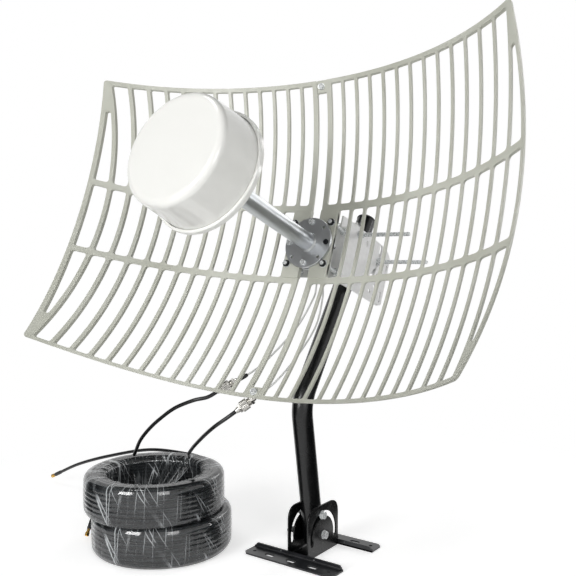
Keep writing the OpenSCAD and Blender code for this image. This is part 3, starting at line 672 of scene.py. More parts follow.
def pigtail(number, points):
    """A thin pale lead out of the tube, down behind the dish to its sleeve and connector."""
    line = route(points)
    end, way, at = cable_end(points)
    bm = bmesh.new()
    sweep(bm, line, PIGTAIL_R, 14)
    lead = piece(f"pigtail_lead_{number}", bm, "pale", "dish", f"pigtail_{number}")

    bm = bmesh.new()
    turned_part(bm, [(1.7, -1.5), (2.7, -1.2), (3.6, 1.5), (4.0, 5), (4.0, SHRINK + 1), (3.4, SHRINK + 2.5),
                     (0, SHRINK + 2.5)], 0.8, at, 28, 3)
    sleeve = piece(f"pigtail_sleeve_{number}", bm, "shrink", "dish", f"shrink_{number}")

    bm = bmesh.new()
    turned_part(bm, [(0, 1), (5.1, 1), (5.4, 3), (5.4, 5)], 0.4, at @ shift(z=SHRINK), 32)
    hexagon(bm, 15.2, 5, at @ shift(z=SHRINK + 5), both=True)
    thread(bm, 7.4, 7, 0.9, at @ shift(z=SHRINK + 9.5), 24)
    jack = piece(f"n_socket_{number}", bm, "nickel", "dish", f"jack_{number}")

    bm = bmesh.new()
    start = at @ shift(z=SHRINK + JACK)
    knurled(bm, 10.0, 14, start, 30, 0.5)
    turned_part(bm, [(6.6, 14), (7.2, 14), (7.2, 14.8), (6.2, 14.8)], 0.2, start, 32, closed=True)
    hexagon(bm, 14.4, 5, start @ shift(z=14.3), both=True)
    turned_part(bm, [(0, 18), (5.5, 18), (5.5, 23), (4.6, 23.8), (4.6, PLUG), (3.4, PLUG), (0, PLUG)], 0.4,
                start, 32)
    plug = piece(f"n_plug_{number}", bm, "nickel", "dish", f"plug_{number}")
    return end + (SHRINK + JACK + PLUG) * way, way


def feeder(number, points, replaced):
    """The black feeder from its plug to the coil, in three lengths, one for each joint it crosses."""
    line = route(points, 14)
    # the cuts lie near the plug, so that the length at the coil hardly moves
    near_plug = [share * run_length(line) * 1000 for share in (0.18, 0.36)]
    cuts, gone = [0], 0.0
    for i in range(1, len(line)):
        gone += (line[i] - line[i - 1]).length
        if len(cuts) < 3 and gone > near_plug[len(cuts) - 1]:
            cuts.append(i)
    cuts.append(len(line) - 1)
    for k, (a, b) in enumerate((("dish", "clamp"), ("clamp", "mast_body"), ("mast_body", "foot"))):
        part = line[cuts[k]:cuts[k + 1] + 1]
        bm = bmesh.new()
        sweep(bm, part, FEEDER_R, 18)
        obj = piece(f"feeder_{number}_{'abc'[k]}", bm, "jacket", None, replaced if k == 0 else ())
        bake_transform(obj)


def coil_line(centre, turn_from):
    """The whole cable of one coil, wound out and in: three turns in the end layers, five in the seven between."""
    apart, per_turn = 7.4, 20
    turns = (3, 5, 5, 5, 5, 5, 5, 5, 3)
    rise = (COIL_H - 2 * TURN_Z) / (len(turns) - 1)
    inner = COIL_OUT - 4 - 4 * apart
    ends = [((5 - n) / 2, (3 + n) / 2) for n in turns]
    ends = [pair if k % 2 == 0 else pair[::-1] for k, pair in enumerate(ends)]
    pts = []
    for layer, n in enumerate(turns):
        first, last = ends[layer]
        onward = ends[layer + 1][0] if layer < len(turns) - 1 else last
        for i in range(n * per_turn):
            within = i / per_turn
            climb = max(0.0, within - (n - 1))
            step = first + (last - first) * min(1.0, within / (n - 1)) + (onward - last) * climb
            z = TURN_Z + rise * (layer + (climb if layer < len(turns) - 1 else 0.0))
            a = turn_from + 2 * math.pi * len(pts) / per_turn
            radius = inner + apart * step
            pts.append(centre + Vector((radius * math.cos(a), radius * math.sin(a), z)))
    return pts


def skin(bm, uv, rows, closed, where):
    """Faces between rows of points; where gives each point its place in the film's map."""
    across = len(rows[0])
    for k in range(len(rows) - (not closed)):
        for i in range(across - (not closed)):
            spots = ((k, i), (k + 1, i), (k + 1, i + 1), (k, i + 1))
            face = bm.faces.new([rows[a % len(rows)][b % across] for a, b in spots])
            for corner, (a, b) in zip(face.loops, spots):
                corner[uv].uv = where(a, b)


def film_fan(bm, uv, rng, far_way):
    """Passes of film through the hole, from the far side of the rim down to one place in front."""
    apex = Vector((58 * math.cos(far_way + 2.9), 58 * math.sin(far_way + 2.9), COIL_H - 60))
    rows = []
    for k in range(41):
        a = far_way + math.radians(-40 + 2 * k)
        rim = Vector(((COIL_IN + 1) * math.cos(a), (COIL_IN + 1) * math.sin(a), COIL_H - 12))
        fold = rng.uniform(-1.6, 1.6)
        rows.append([bm.verts.new(rim.lerp(apex, t / 8) + Vector((0, 0, fold * math.sin(math.pi * t / 8)
                                                                  - t * (8 - t) * 0.5))) for t in range(9)])
    skin(bm, uv, rows, False, lambda k, t: (3 + k * 0.0028, t * 0.018))


def film(name, centre, seed, far_way=None):
    """Stretch film round a coil: smooth outside, where the turns show as faint ridges, gathered in the hole."""
    rng = random.Random(seed)
    around = 420
    half_w, half_h = (COIL_OUT - COIL_IN) / 2 + 1.0, COIL_H / 2 + 0.2
    section = [(-half_w, -half_h), (half_w, -half_h), (half_w, half_h), (-half_w, half_h)]
    section = walked(soften(section, 14, 10), 2)
    phases = [rng.uniform(0, 6.28) for _ in range(7)]
    bm = bmesh.new()
    uv = bm.loops.layers.uv.new("wrap")
    rows = []
    for k in range(around):
        a = 2 * math.pi * k / around
        slow = sum(math.sin(a * f + ph) for f, ph in zip((2, 3, 5), phases)) / 3
        gather = sum(1 - 2 * abs(math.sin(a * f + ph)) for f, ph in zip((9, 15, 24, 37), phases[3:])) / 4
        row = []
        for p in section:
            outer, inner = max(0.0, p.x / half_w), max(0.0, -p.x / half_w)
            ridges = math.cos(2 * math.pi * (p.y + half_h - TURN_Z) / RIDGES) if abs(p.y) < half_h - 8 else 0
            push = (0.3 * ridges + 1.2 + 0.8 * slow) * outer + gather * (0.05 + 2.2 * inner)
            scale = 1 + push / math.hypot(p.x, p.y)
            r = (COIL_OUT + COIL_IN) / 2 + p.x * scale
            row.append(bm.verts.new((r * math.cos(a), r * math.sin(a), max(0.05, p.y * scale + COIL_H / 2))))
        rows.append(row)
    skin(bm, uv, rows, True, lambda k, i: (k / around * 0.68, i / len(section) * 0.19))
    bmesh.ops.recalc_face_normals(bm, faces=bm.faces[:])
    if far_way is not None:
        film_fan(bm, uv, rng, far_way)
    return piece(name, bm, "film", "foot", at=Matrix.Translation(centre), sharp=80)


def tail(name, points, sleeve_l, cad_names):
    """The far end of a coil: its sleeve and small gold plug."""
    line, at = route(points), cable_end(points)[2]
    bm = bmesh.new()
    sweep(bm, line, FEEDER_R)
    cable = piece(f"{name}_cable", bm, "jacket", "foot", cad_names[0])
    bm = bmesh.new()
    turned_part(bm, [(3.4, -3), (4.0, -2), (4.2, 1), (4.2, sleeve_l - 2), (3.9, sleeve_l), (0, sleeve_l)],
                0.8, at, 28, 3)
    sleeve = piece(f"{name}_sleeve", bm, "shrink", "foot", cad_names[1])
    bm = bmesh.new()
    start = at @ shift(z=sleeve_l)
    turned_part(bm, [(0, 0), (3.1, 0), (3.1, 5.5), (2.7, 6), (0, 6)], 0.3, start, 28)
    hexagon(bm, 8.0, 7, start @ shift(z=SMA - 8), bore=3.0, both=True)
    turned_part(bm, [(0, 5), (2.9, 5), (2.9, 13.6), (2.1, 13.6), (2.1, 9), (0.5, 9), (0.45, 13), (0, 13.2)],
                0.2, start, 28)
    plug = piece(f"{name}_sma", bm, "gold", "foot", cad_names[2])
    return cable, line, [sleeve, plug]


def cables():
    out_1, way_1 = pigtail(1, PIG_1)
    out_2, way_2 = pigtail(2, PIG_2)
    feeder(1, [out_1 + 0.3 * way_1, out_1 + 20 * way_1, (-164, -145, 279), (-204, -150, 262), (-242, -147, 239),
               (-277, -143, 214), (-309, -137, 186), (-339, -121, 158), (-354, -112, COIL_TOP + FEEDER_R)],
           "feeder_1")
    feeder(2, [out_2 + 0.3 * way_2, out_2 + 20 * way_2, (-116, -140, 238), (-148, -130, 217), (-181, -113, 196),
               (-212, -92, 178), (-242, -68, 161), (-272, -42, COIL_TOP + FEEDER_R)], "feeder_2")
    for name, centre, turn, cad in (("coil_cable_lower", COIL_1, 0.4, "coil_lower"),
                                    ("coil_cable_upper", COIL_2, 2.2, "coil_upper")):
        line = coil_line(centre, turn)
        bm = bmesh.new()
        sweep(bm, line, FEEDER_R, 8)
        obj = piece(name, bm, "jacket", "foot", cad, sharp=80)
    film("coil_film_lower", COIL_1, 3)
    film("coil_film_upper", COIL_2, 8, math.radians(125))
    for name, points, sleeve_l, cad in (
            ("tail_upper", TAIL_U, 22.0, ("tail_upper", "tail_shrink_upper", "sma_upper")),
            ("tail_lower", TAIL_L, 16.0, ("tail_lower", "tail_shrink_lower", "sma_lower"))):
        cable, line, ends = tail(name, points, sleeve_l, cad)


# Reflector --------------------------------------------------------------------
def bowl(u, v, depth=0.0):
    """Depth of the bowl at a point; depth is how far behind its front face."""
    return BOWL_R - math.sqrt((BOWL_R + depth) ** 2 - u * u - v * v)


def side_rim(v, inset):
    return HALF_W - SIDE_R + math.sqrt((SIDE_R + RIM / 2 - inset) ** 2 - v * v)


def top_rim(u, inset):
    return HALF_H - TOP_R + math.sqrt((TOP_R + RIM / 2 - inset) ** 2 - u * u)


def flipped(points):
    return [Vector((p[0], -p[1])) for p in points]


def up_the_side(low, high, n, inset=RIM):
    return [Vector((side_rim(v, inset), v)) for v in spaced(low, high, n)]


def outer_cell(a, b):
    """Opening between a rib and the top rim, from u = a to b; b is None beside the side rim."""
    low = RIB + RIB_W / 2
    if b:
        return [Vector((a, low)), Vector((b, low))] + [Vector((u, top_rim(u, RIM))) for u in spaced(b, a, 4)]
    return [Vector((a, low))] + up_the_side(low, GUSSET, 16) + [Vector((a, GUSSET))]


def middle_cell(a, b):
    """Opening between the two ribs."""
    high = RIB - RIB_W / 2
    if b:
        return [Vector(p) for p in ((a, -high), (b, -high), (b, high), (a, high))]
    return [Vector((a, -high))] + up_the_side(-high, high, 16) + [Vector((a, high))]


def cell_outlines():
    out = []
    for k in range(BARS + 1):
        a = SEAM + EDGE if k == 0 else FIRST + k * PITCH + BAR / 2
        b = FIRST + (k + 1) * PITCH - BAR / 2 if k < BARS else None
        upper = outer_cell(a, b)
        cells = [upper, flipped(upper)]
        if k > 0:
            cells.append(middle_cell(a, b))
        out += [walked(soften(cell, CELL_R)) for cell in cells]
    return out


def rim_outline():
    """Outer edge of the right half, its two corners rounded."""
    u, short = 415.0, 13                   # the rims' points stop short of the corner
    for _ in range(8):
        u = side_rim(top_rim(u, 0), 0)
    v = top_rim(u, 0)
    corners = [Vector((u, -v)), Vector((u, v))]
    lower = [Vector((x, -top_rim(x, 0))) for x in spaced(SEAM, u - short, 50)]
    upper = flipped(reversed(lower))
    pts = lower + corners[:1] + up_the_side(short - v, v - short, 64, 0) + corners[1:] + upper
    return walked(soften(pts, [9.0 if p in corners else 1.5 for p in pts], 6))


def cast(bm, outline, holes, front, back, soft=1.5, segments=3):
    """Cast part: a flat pattern with openings, laid into the bowl between two depths."""
    part, top = flat_pattern(outline, holes)
    top = set(top)
    for v in part.verts:
        v.co.z = bowl(v.co.x, v.co.y, front if v in top else back)
    finish_rims(part, soft, segments, angle=50)
    merged(bm, part)


def tab_outline(s):
    """Tongue over the seam at the top (s 1) or bottom, flared into its own bar."""
    low, high = HALF_H - 17, HALF_H + RIM / 2 - 0.3
    pts = [(-SEAM + 0.4, low), (SEAM, low), (SEAM, low - 7), (SEAM + 2, low - 7), (SEAM + 2, high),
           (-SEAM + 0.4, high)]
    pts = walked(soften(pts, [3, 5, 0, 0, 0, 3]), 4)
    return pts if s > 0 else flipped(reversed(pts))


def half_reflector(name, turn, cad):
    """Both halves are one casting: its tongue is in front at one end and behind at the other."""
    bm = bmesh.new()
    cast(bm, rim_outline(), cell_outlines(), 0, CAST_T)
    for s, front, back in ((1, 0, CAST_T / 2 - 0.1), (-1, CAST_T / 2, CAST_T)):
        cast(bm, tab_outline(s), [circle(3.1, (0, s * SCREW_V), 16)], front, back, 0.4, 2)
    # raised pad for the feed, cut round the tube
    near, half = SEAM + 0.1, RIB - RIB_W / 2 + 1
    edge = soften([(near, -half), (PAD_U, -half), (PAD_U, half), (near, half)], [2, 3, 3, 2], 3)
    edge += [ray(math.radians(a), 17) for a in range(48, -49, -6)]
    bores = [circle(4.1, (STUD, v), 20) for v in (-STUD, STUD)] + [circle(3.1, (SCREWS_R, 0), 16)]
    plate(bm, edge, PAD_F - PAD_B, bores, shift(z=PAD_B), soft=1.2)
    return piece(name, bm, "grid", "dish", cad, DISH @ turned(turn), 40)


def seam_screws():
    bm = bmesh.new()
    for s in (1, -1):
        at = shift(y=s * SCREW_V, z=bowl(0, SCREW_V)) @ turned(s * math.degrees(math.asin(SCREW_V / BOWL_R)), "X")
        shank(bm, M6, CAST_T + 11, 8.6, at @ shift(z=-CAST_T - 9))
        hexagon(bm, M6.across, M6.head_t, at @ shift(z=1.8), dish=0.3)
        washer(bm, at @ shift(z=0.1), 6.4, M6.r)
        nut(bm, M6, at @ shift(z=-CAST_T - M6.nut_t - 0.1))
    piece("seam_bolts", bm, "zinc", "dish", ("seam_screws", "seam_nuts"), DISH)


# Feed -------------------------------------------------------------------------
def feed():
    bm = bmesh.new()
    bores = [circle(3.2, ray(math.pi / 4 * k, SCREWS_R), 20) for k in range(8)]
    plate(bm, circle(FLANGE_R, steps=96), 6, [circle(16.3, steps=40)] + bores, shift(z=PAD_F), soft=0.7)
    turned_part(bm, [(16.2, 11), (19.0, 12), (18.6, 13), (16.6, 16), (16.1, 16)], 0.4, HOME, 64, closed=True)
    piece("flange", bm, "turned", "dish", "feed_flange", DISH)

    bm = bmesh.new()
    tube_part(bm, 16, 14.2, 318, shift(z=-20), soft=0.4, steps=64)
    piece("feed_pipe", bm, "drawn", "dish", "feed_tube", DISH)

    bm = bmesh.new()
    for a in (90, 180, 270):
        at = turned(a) @ shift(SCREWS_R)
        shank(bm, M6, 27, 10, at @ shift(z=-16), -1, steps=24)
        hexagon(bm, M6.across, M6.head_t, at @ shift(z=12), dish=0.3)
    piece("flange_screws", bm, "zinc", "dish", "flange_bolts", DISH)
    bm = bmesh.new()
    rod(bm, M6.r, 29, shift(SCREWS_R, z=-17), steps=24)
    turned_part(bm, [(0, 2.6), (2.7, 2.6), (2.9, 3.1), (4.6, 3.1), (5, 2.4), (5, 0), (0, 0)], 0.4,
                shift(SCREWS_R, z=12), 32)
    piece("flange_socket_bolt", bm, "oxide", "dish", "flange_socket_screw", DISH)
    bm = bmesh.new()
    for a in (0, 90, 180, 270):
        nut(bm, M6, turned(a) @ shift(SCREWS_R, z=-12))
    piece("flange_back_nuts", bm, "zinc", "dish", "flange_nuts", DISH)

    # radome: shell, then the lipped back disc with its collar
    at = shift(z=RADOME_AT)
    bm = bmesh.new()
    turned_part(bm, [(0, 89), (92.6, 89), (97.9, 4.6), (97.0, 3.4), (95.4, 3.4), (90.2, 86.5), (0, 86.5)],
                [0, 13, 0.6, 0.3, 0.3, 10, 0], at, 128, 10)
    piece("radome_shell", bm, "white", "dish", "radome_cover", DISH, 40)
    bm = bmesh.new()
    turned_part(bm, [(16.05, -10), (19.5, -10), (20.3, 0), (99.4, 0), (103, 3.4), (103, 11.4), (101.6, 13),
                     (98.4, 12.6), (98.2, 3.2), (16.05, 3)], [0.4, 1.2, 3, 3, 2.6, 1.4, 1, 0.3, 0.3, 0.3],
                at, 128, 5, closed=True)
    piece("radome_lip", bm, "white", "dish", "radome_back", DISH, 40)


# Clamp and bracket ------------------------------------------------------------
def studs():
    heads, shanks, nuts = bmesh.new(), bmesh.new(), bmesh.new()
    for u, v in STUDS:
        at = shift(u, v)
        washer(shanks, at @ shift(z=PAD_F), 7.4, HOLE_M8, 1.2)
        hexagon(heads, 11.4, 5.0, at @ shift(z=7.2), bore=M8.r, both=True)
        rod(shanks, 3.9, 8.4, at @ shift(z=5.8), soft=0.8, steps=24)
        shank(shanks, M8, 60, 60, at @ shift(z=-54))
        for w in (-9.5, -40, BACK_W - M8.nut_t):
            nut(nuts, M8, at @ shift(z=w))
    piece("stud_heads", heads, "oxide", "dish", "studs", DISH)
    piece("stud_shanks", shanks, "zinc", "dish", at=DISH)
    piece("stud_hex_nuts", nuts, "zinc", "dish", "stud_nuts", DISH)


def bracket():
    """Square plate behind the dish, with the tall side plate welded to it."""
    bm = bmesh.new()
    half = STUD + 10
    edge = soften([(-half, -half), (half, -half), (half, half + 2), (-half, half + 2)], 5, 5)
    plate(bm, edge, SHEET, [circle(4.2, at, 24) for at in STUDS] + [circle(9)], shift(z=BACK_W), soft=0.5)
    outline = soften([(75, BACK_W), (78, -90), (78, -222), (64, -246), (-38, -240), (-44, -226), (-46, -120),
                      (-50, BACK_W)], [1, 4, 6, 6, 6, 5, 4, 1], 5)
    # the arc slot runs about the front bolt, behind and below it
    lean = UPPER_LEAN - AIM
    pivot = Vector((52, -154.5)) + ray(math.radians(90 - lean), BOLTS_APART / 2)
    holes = [circle(HOLE_M8, pivot, 28), arc_slot(BOLTS_APART, SLOT_M8, -116 - lean, -70 - lean, pivot),
             slot(12, 6.5, (59, -146), 8), slot(11, 6.5, (-25, -185), 70), slot(11, 6.5, (-11, -201), 70),
             slot(22, 6.5, (-24, -229)), slot(12, 6.5, (40, -236))]
    plate(bm, outline, SHEET, holes, shift(SIDE_U) @ ON_EDGE, soft=0.5)
    piece("bracket_plates", bm, "galvanised", "dish", "dish_bracket", DISH, 30)
    bm = bmesh.new()
    rng = random.Random(5)
    for a, b in ((-44, -22), (-8, 12), (26, 46)):
        for v in spaced(a, b, int((b - a) / 1.6))[:-1]:
            bead = shift(25.6 + rng.uniform(-0.1, 0.1), v, -43.4) @ turned(45, "Y")
            turned_part(bm, [(0, 0.9), (1.7, 0.5), (2.2, -0.6), (0, -1.0)], 0.6, bead, 12, 3)
    piece("bracket_weld", bm, "galvanised", "dish", at=DISH)


def notch(side, teeth=9):
    """One flank of the V notch that grips the tube, with its teeth."""
    across, along = math.sin(math.radians(60)), math.cos(math.radians(60))
    apex = (MAST_R + 0.3) / across
    line = []
    for k, x in enumerate(spaced(apex, 3.2, 2 * teeth)):
        p = Vector((x, side * (apex - x) * across / along))
        line.append(p + Vector((across, side * along)) * 0.9 if k % 2 else p)
    return line


def jaw(mirrored):
    """Pressed jaw: a web with two notched cheeks, the notches cut with grip teeth."""
    bm = bmesh.new()
    web = soften([(-60, -20), (60, -20), (60, 20), (-60, 20)], 4)
    bores = [circle(HOLE_M8, (y, 0), 24) for y in (-BOLTS_APART / 2, BOLTS_APART / 2)]
    plate(bm, web, SHEET, bores, shift(23) @ ON_EDGE, soft=0.5)
    outline = [Vector(p) for p in ((26, -60), (26, 60), (8, 60), (8, 48), (3.2, 46))]
    outline += notch(1)[::-1] + notch(-1)[1:] + [Vector(p) for p in ((3.2, -46), (8, -48), (8, -60))]
    for z in (-20, 17):
        plate(bm, outline, SHEET, (), shift(z=z), soft=0.3, segments=1)
    if mirrored:
        bmesh.ops.transform(bm, matrix=Matrix.Diagonal((-1, 1, 1, 1)), verts=bm.verts[:])
        bmesh.ops.reverse_faces(bm, faces=bm.faces[:])
    return bm


def clamp():
    piece("jaw_right", jaw(False), "galvanised", "clamp", "jaw_near", CLAMP, 30)
    piece("jaw_left", jaw(True), "galvanised", "clamp", "jaw_far", CLAMP, 30)
    bolts, washers, nuts = bmesh.new(), bmesh.new(), bmesh.new()
    head, far = -27.6, 29.4                # under the bolt's head, and outside the bracket's side plate
    for y in (-BOLTS_APART / 2, BOLTS_APART / 2):
        at = shift(y=y) @ ALONG_X
        shank(bolts, M8, 165, 163, at @ shift(z=head), 0.6, soft=0.6)
        hexagon(bolts, M8.across, M8.head_t, at @ shift(z=head) @ turned(180, "X"), dish=0.4)
        for z in (head, far):
            washer(washers, at @ shift(z=z))
        nut(nuts, M8, at @ shift(z=far + WASHER_T))
    piece("long_bolts", bolts, "zinc", "clamp", "clamp_bolts", CLAMP)
    piece("long_bolt_washers", washers, "zinc", "clamp", "clamp_washers", CLAMP)
    piece("long_bolt_nuts", nuts, "zinc", "clamp", "clamp_nuts", CLAMP)


# Mast and foot ----------------------------------------------------------------
def mast():
    """Bent tube: lower length, crank, upper length."""
    bend = math.radians(LOWER_LEAN + UPPER_LEAN)
    cut = CRANK_R * math.tan(bend / 2)
    line = [Vector((0, 0, z)) for z in (-MAST_FOOT, -8, 0, 38, 120, LOWER_L - cut - 1)]
    line += [Vector((0, CRANK_R * (1 - math.cos(a)), LOWER_L - cut + CRANK_R * math.sin(a)))
             for a in spaced(0, bend, 24)]
    way = Vector((0, math.sin(bend), math.cos(bend)))
    line += [Vector((0, 0, LOWER_L)) + way * s for s in (cut + 1, 120, 250, 400, UPPER_L - 0.4, UPPER_L)]
    bm = bmesh.new()
    sweep(bm, line, MAST_R, 64, caps=False)
    # the wall at both ends, then a short way down the bore
    walls = bmesh.ops.extrude_edge_only(bm, edges=[e for e in bm.edges if e.is_boundary])["geom"]
    inner = verts_of(walls)
    for v in inner:
        base = line[-1] if v.co.z > LOWER_L else line[0]
        v.co = base + (v.co - base) * (MAST_BORE / MAST_R)
    mouths = [e for e in walls if isinstance(e, bmesh.types.BMEdge) and e.is_boundary
              and e.verts[0] in inner and e.verts[1] in inner]
    for v in verts_of(bmesh.ops.extrude_edge_only(bm, edges=mouths)["geom"]):
        v.co += -way * 12 if v.co.z > LOWER_L else Vector((0, 0, 60))
    finish_rims(bm, 0.35, 2, 60)
    piece("mast_tube", bm, "black", "mast_body", "mast", LOWER)
    bm = bmesh.new()
    turned_part(bm, [(16.9, -14), (16.9, 0), (19.8, 0), (19.8, 2.2), (17.6, 4.2), (0, 4.2)],
                [0, 0, 0.3, 1.4, 2.5, 0], shift(z=70), 64, 4)
    piece("mast_end_cap", bm, "rubber", "mast_body", "mast_cap", CLAMP)


def fillet(bm, r, length, at):
    """Fills the inside of a bend in sheet, along z."""
    arc = [Vector((r - r * math.sin(a), r - r * math.cos(a))) for a in spaced(0, math.pi / 2, 6)]
    plate(bm, [Vector((0, 0))] + arc, length, (), at, soft=0)


def cheeks():
    """Channel of the foot: two slotted cheeks and the web between them, bent from one sheet."""
    bm = bmesh.new()
    outline = soften([(-50, 0), (50, 0), (50, 88), (-50, 88)], [0, 0, 26, 26], 12)
    pivot = (0, PIVOT_Z)
    holes = [circle(HOLE_M8, pivot, 28), arc_slot(LOCK_R, SLOT_M8, 90 - 102, 90 + 102, pivot, 48)]
    for x in (CHEEK_IN, -CHEEK_IN - SHEET):
        plate(bm, outline, SHEET, holes, shift(x) @ ON_EDGE, soft=0.5)
    half = CHEEK_IN + 1
    plate(bm, [(-half, -50), (half, -50), (half, 50), (-half, 50)], SHEET, [circle(9)])
    for s in (-1, 1):
        fillet(bm, 3, 99.2, shift(s * CHEEK_IN, 49.6, SHEET) @ turned(90, "X") @ Matrix.Diagonal((-s, 1, 1, 1)))
    piece("foot_channel", bm, "black", "foot", "base_bracket", sharp=30)


def foot_bar(name, side, cad):
    bm = bmesh.new()
    half, y = FOOT_L / 2, FOOT_W * 0.58
    flat = soften([(-half, 0), (half, 0), (half, 31), (88, FOOT_W), (-88, FOOT_W), (-half, 31)],
                  [0, 0, 1.5, 1.5, 1.5, 1.5], 3)
    holes = [slot(20, 9, (x, y)) for x in (-46, 0, 46)] + [circle(3.5, (x, y), 24) for x in (-80, 80)]
    plate(bm, flat, SHEET, holes, soft=0.45)
    leg = soften([(-half, 0), (half, 0), (half, 3), (89, 10), (-89, 10), (-half, 3)], [0, 0, 1, 1.5, 1.5, 1], 3)
    upright = Matrix(((1, 0, 0, 0), (0, 0, 1, 0), (0, 1, 0, 0), (0, 0, 0, 1)))
    plate(bm, leg, SHEET, [circle(1.6, (x, 6.2), 16) for x in (-36, 36)], upright, soft=0.45)
    fillet(bm, 2.5, FOOT_L - 1, shift(0.5 - half, SHEET, SHEET) @ ON_EDGE)
    bmesh.ops.transform(bm, matrix=Matrix.Diagonal((1, side, 1, 1)) @ shift(y=50), verts=bm.verts[:])
    bmesh.ops.recalc_face_normals(bm, faces=bm.faces[:])
    piece(name, bm, "grey", "foot", cad, sharp=30)


def cross_bolt(name, z, place, gap, body, cads):
    """M8 bolt across the cheeks with washers and a nut."""
    bolt, washers, nuts = bmesh.new(), bmesh.new(), bmesh.new()
    out = CHEEK_IN + SHEET + gap
    outside = out + WASHER_T
    start = -outside - M8.nut_t - 3
    at = shift(z=z) @ ALONG_X
    shank(bolt, M8, outside - start, 14, at @ shift(z=start))
    rod(bolt, 3.95, 2 * out - 4, at @ shift(z=start + 13))
    hexagon(bolt, M8.across, M8.head_t, at @ shift(z=outside), dish=0.4)
    for under in (out, -outside):
        washer(washers, at @ shift(z=under))
    nut(nuts, M8, at @ shift(z=-outside - M8.nut_t))
    for suffix, bm, cad in zip(("bolt", "pair_of_washers", "hex_nut"), (bolt, washers, nuts), cads):
        piece(f"{name}_{suffix}", bm, "zinc", body, cad, place)


def inner_parts():
    """The CAD's own pieces whose shape is right, in the scene's materials."""
    for node, paint_key in (("feed_board", "board"), ("feed_leads", "copper"), ("feed_reflector", "turned"),
                            ("feed_posts", "nickel"), ("backing_ring", "turned"), ("tube_grommet", "rubber")):
        for material_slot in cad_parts[node].material_slots:
            material_slot.material = PAINT[paint_key][0]


# Light, floor and camera ------------------------------------------------------
def lamp(name, at, aim, size, power):
    light = bpy.data.lights.new(name, "AREA")
    light.shape, light.size, light.size_y = "RECTANGLE", size[0], size[1]
    light.energy = power
    obj = linked(name, light)
    obj.location = at
    obj.rotation_euler = (Vector(aim) - Vector(at)).to_track_quat("-Z", "Y").to_euler()


def square(name, material, half):
    """A flat square that lies about the origin."""
    bm = bmesh.new()
    bmesh.ops.create_grid(bm, x_segments=1, y_segments=1, size=half)
    mesh = bpy.data.meshes.new(name)
    bm.to_mesh(mesh)
    bm.free()
    mesh.materials.append(material)
    return linked(name, mesh)


def flag(name, at, width, height, lying=False):
    """A black card: it darkens what polished parts mirror from that side. A lying one only shows in mirrors."""
    card = square(name, paint("card_matt_black", "#0b0b0b", 0.95)[0], 0.5)
    card.scale = (width, height, 1)
    card.location = at
    card.visible_camera = False
    if lying:
        card.visible_diffuse = card.visible_shadow = False
    else:
        away = Vector(at) - Vector((0, 0, min(at[2], 1.5)))
        card.rotation_euler = away.to_track_quat("Z", "Y").to_euler()


def seen_or_mirrored(tree):
    """One for what the eye sees itself or in a mirror, and the node that tells it."""
    seen = add(tree, "LightPath")
    either = add(tree, "Math", {0: seen.outputs["Is Camera Ray"], 1: seen.outputs["Is Glossy Ray"]},
                 operation="MAXIMUM")
    return either.outputs[0], seen


def sky():
    """White wherever it is seen, dimmer as a light."""
    world = bpy.data.worlds.new("white_sweep")
    bpy.context.scene.world = world
    world.use_nodes = True
    tree = world.node_tree
    tree.nodes.clear()
    either, seen = seen_or_mirrored(tree)
    white = add(tree, "Math", {0: either, 1: seen.outputs["Is Transmission Ray"]}, operation="MAXIMUM")
    strength = add(tree, "MapRange", {"Value": white.outputs[0], "To Min": 0.38, "To Max": 1.0})
    sky_light = add(tree, "Background", {"Color": colour("#ffffff"), "Strength": strength.outputs["Result"]})
    add(tree, "OutputWorld", {"Surface": sky_light.outputs["Background"]})


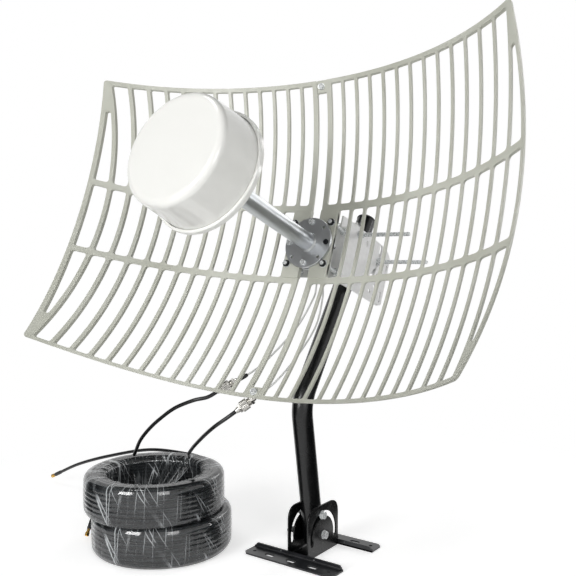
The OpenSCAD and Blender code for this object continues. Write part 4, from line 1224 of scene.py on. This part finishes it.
def floor():
    """White paper that glows a little where it is seen, and fades into the sky away from the antenna."""
    mat, tree, bsdf = paint("floor_paper_white", "#f4f4f4", 0.9)
    paper = square("floor", mat, 30)
    paper.location.z = -0.0006
    glow = add(tree, "Emission", {"Color": colour("#ffffff"), "Strength": 0.5})
    near = add(tree, "AddShader", {0: bsdf.outputs[0], 1: glow.outputs[0]})
    far = add(tree, "Emission", {"Color": colour("#ffffff"), "Strength": 1.0})
    out_from = add(tree, "VectorMath", {0: add(tree, "TexCoord").outputs["Object"]}, operation="LENGTH")
    faded = add(tree, "MixShader", {"Fac": spread(tree, out_from.outputs["Value"], 0, 1, 0.5, 1.0),
                                    1: near.outputs[0], 2: far.outputs[0]})
    mix = add(tree, "MixShader", {"Fac": seen_or_mirrored(tree)[0], 1: bsdf.outputs[0], 2: faded.outputs[0]})
    out = next(n for n in tree.nodes if n.type == "OUTPUT_MATERIAL")
    tree.links.new(mix.outputs[0], out.inputs["Surface"])


def studio():
    lamp("key_softbox", (-0.35, -3.0, 1.15), (0, 0, 0.5), (1.2, 1.1), 49)
    lamp("top_softbox", (-0.8, -0.7, 3.2), (0, 0, 0.4), (1.0, 0.7), 16)
    lamp("fill_softbox", (2.5, -1.7, 1.3), (0, 0, 0.5), (1.0, 1.4), 21)
    lamp("back_softbox", (0.1, 2.6, 1.5), (0, 0, 0.6), (1.6, 1.2), 14)
    lamp("window", (1.22, 1.1, 0.7), (0, -0.29, 0.667), (0.3, 0.4), 3)
    flag("flag_left", (-1.9, -1.3, 1.5), 2.4, 3.0)
    flag("flag_right", (1.8, 1.2, 0.25), 3.0, 0.6)
    flag("flag_above", (0, 0, 3.6), 7.0, 7.0)
    flag("card_on_floor_right", (1.1, 0.75, 0.002), 2.0, 2.0, lying=True)
    flag("card_on_floor_left", (-1.35, -1.0, 0.002), 1.5, 1.6, lying=True)
    sky()
    floor()


def camera():
    lens = bpy.data.cameras.new("camera")
    lens.lens, lens.sensor_width, lens.sensor_fit = 46.75, 36, "HORIZONTAL"
    lens.shift_y = -0.052
    lens.clip_start, lens.clip_end = 0.05, 60
    obj = linked("camera", lens)
    obj.location = (0.7635, -1.1463, 0.5367)
    obj.rotation_euler = (math.pi / 2, 0, math.radians(35.6))
    bpy.context.scene.camera = obj


camera()
cables()
half_reflector("grid_right", 0, "reflector_right")
half_reflector("grid_left", 180, "reflector_left")
seam_screws()
feed()
studs()
bracket()
clamp()
mast()
cheeks()
foot_bar("bar_rear", 1, "foot_bar_rear")
foot_bar("bar_front", -1, "foot_bar_front")
cross_bolt("pivot", PIVOT_Z, HOME, 0, "foot", ("pivot_bolt", "pivot_washers", "pivot_nut"))
cross_bolt("lock", LOCK_R, LOWER, 0.2, "mast_body", ("lock_bolt", "lock_washers", "lock_nut"))
inner_parts()
studio()
bpy.context.scene.view_settings.view_transform = "Standard"
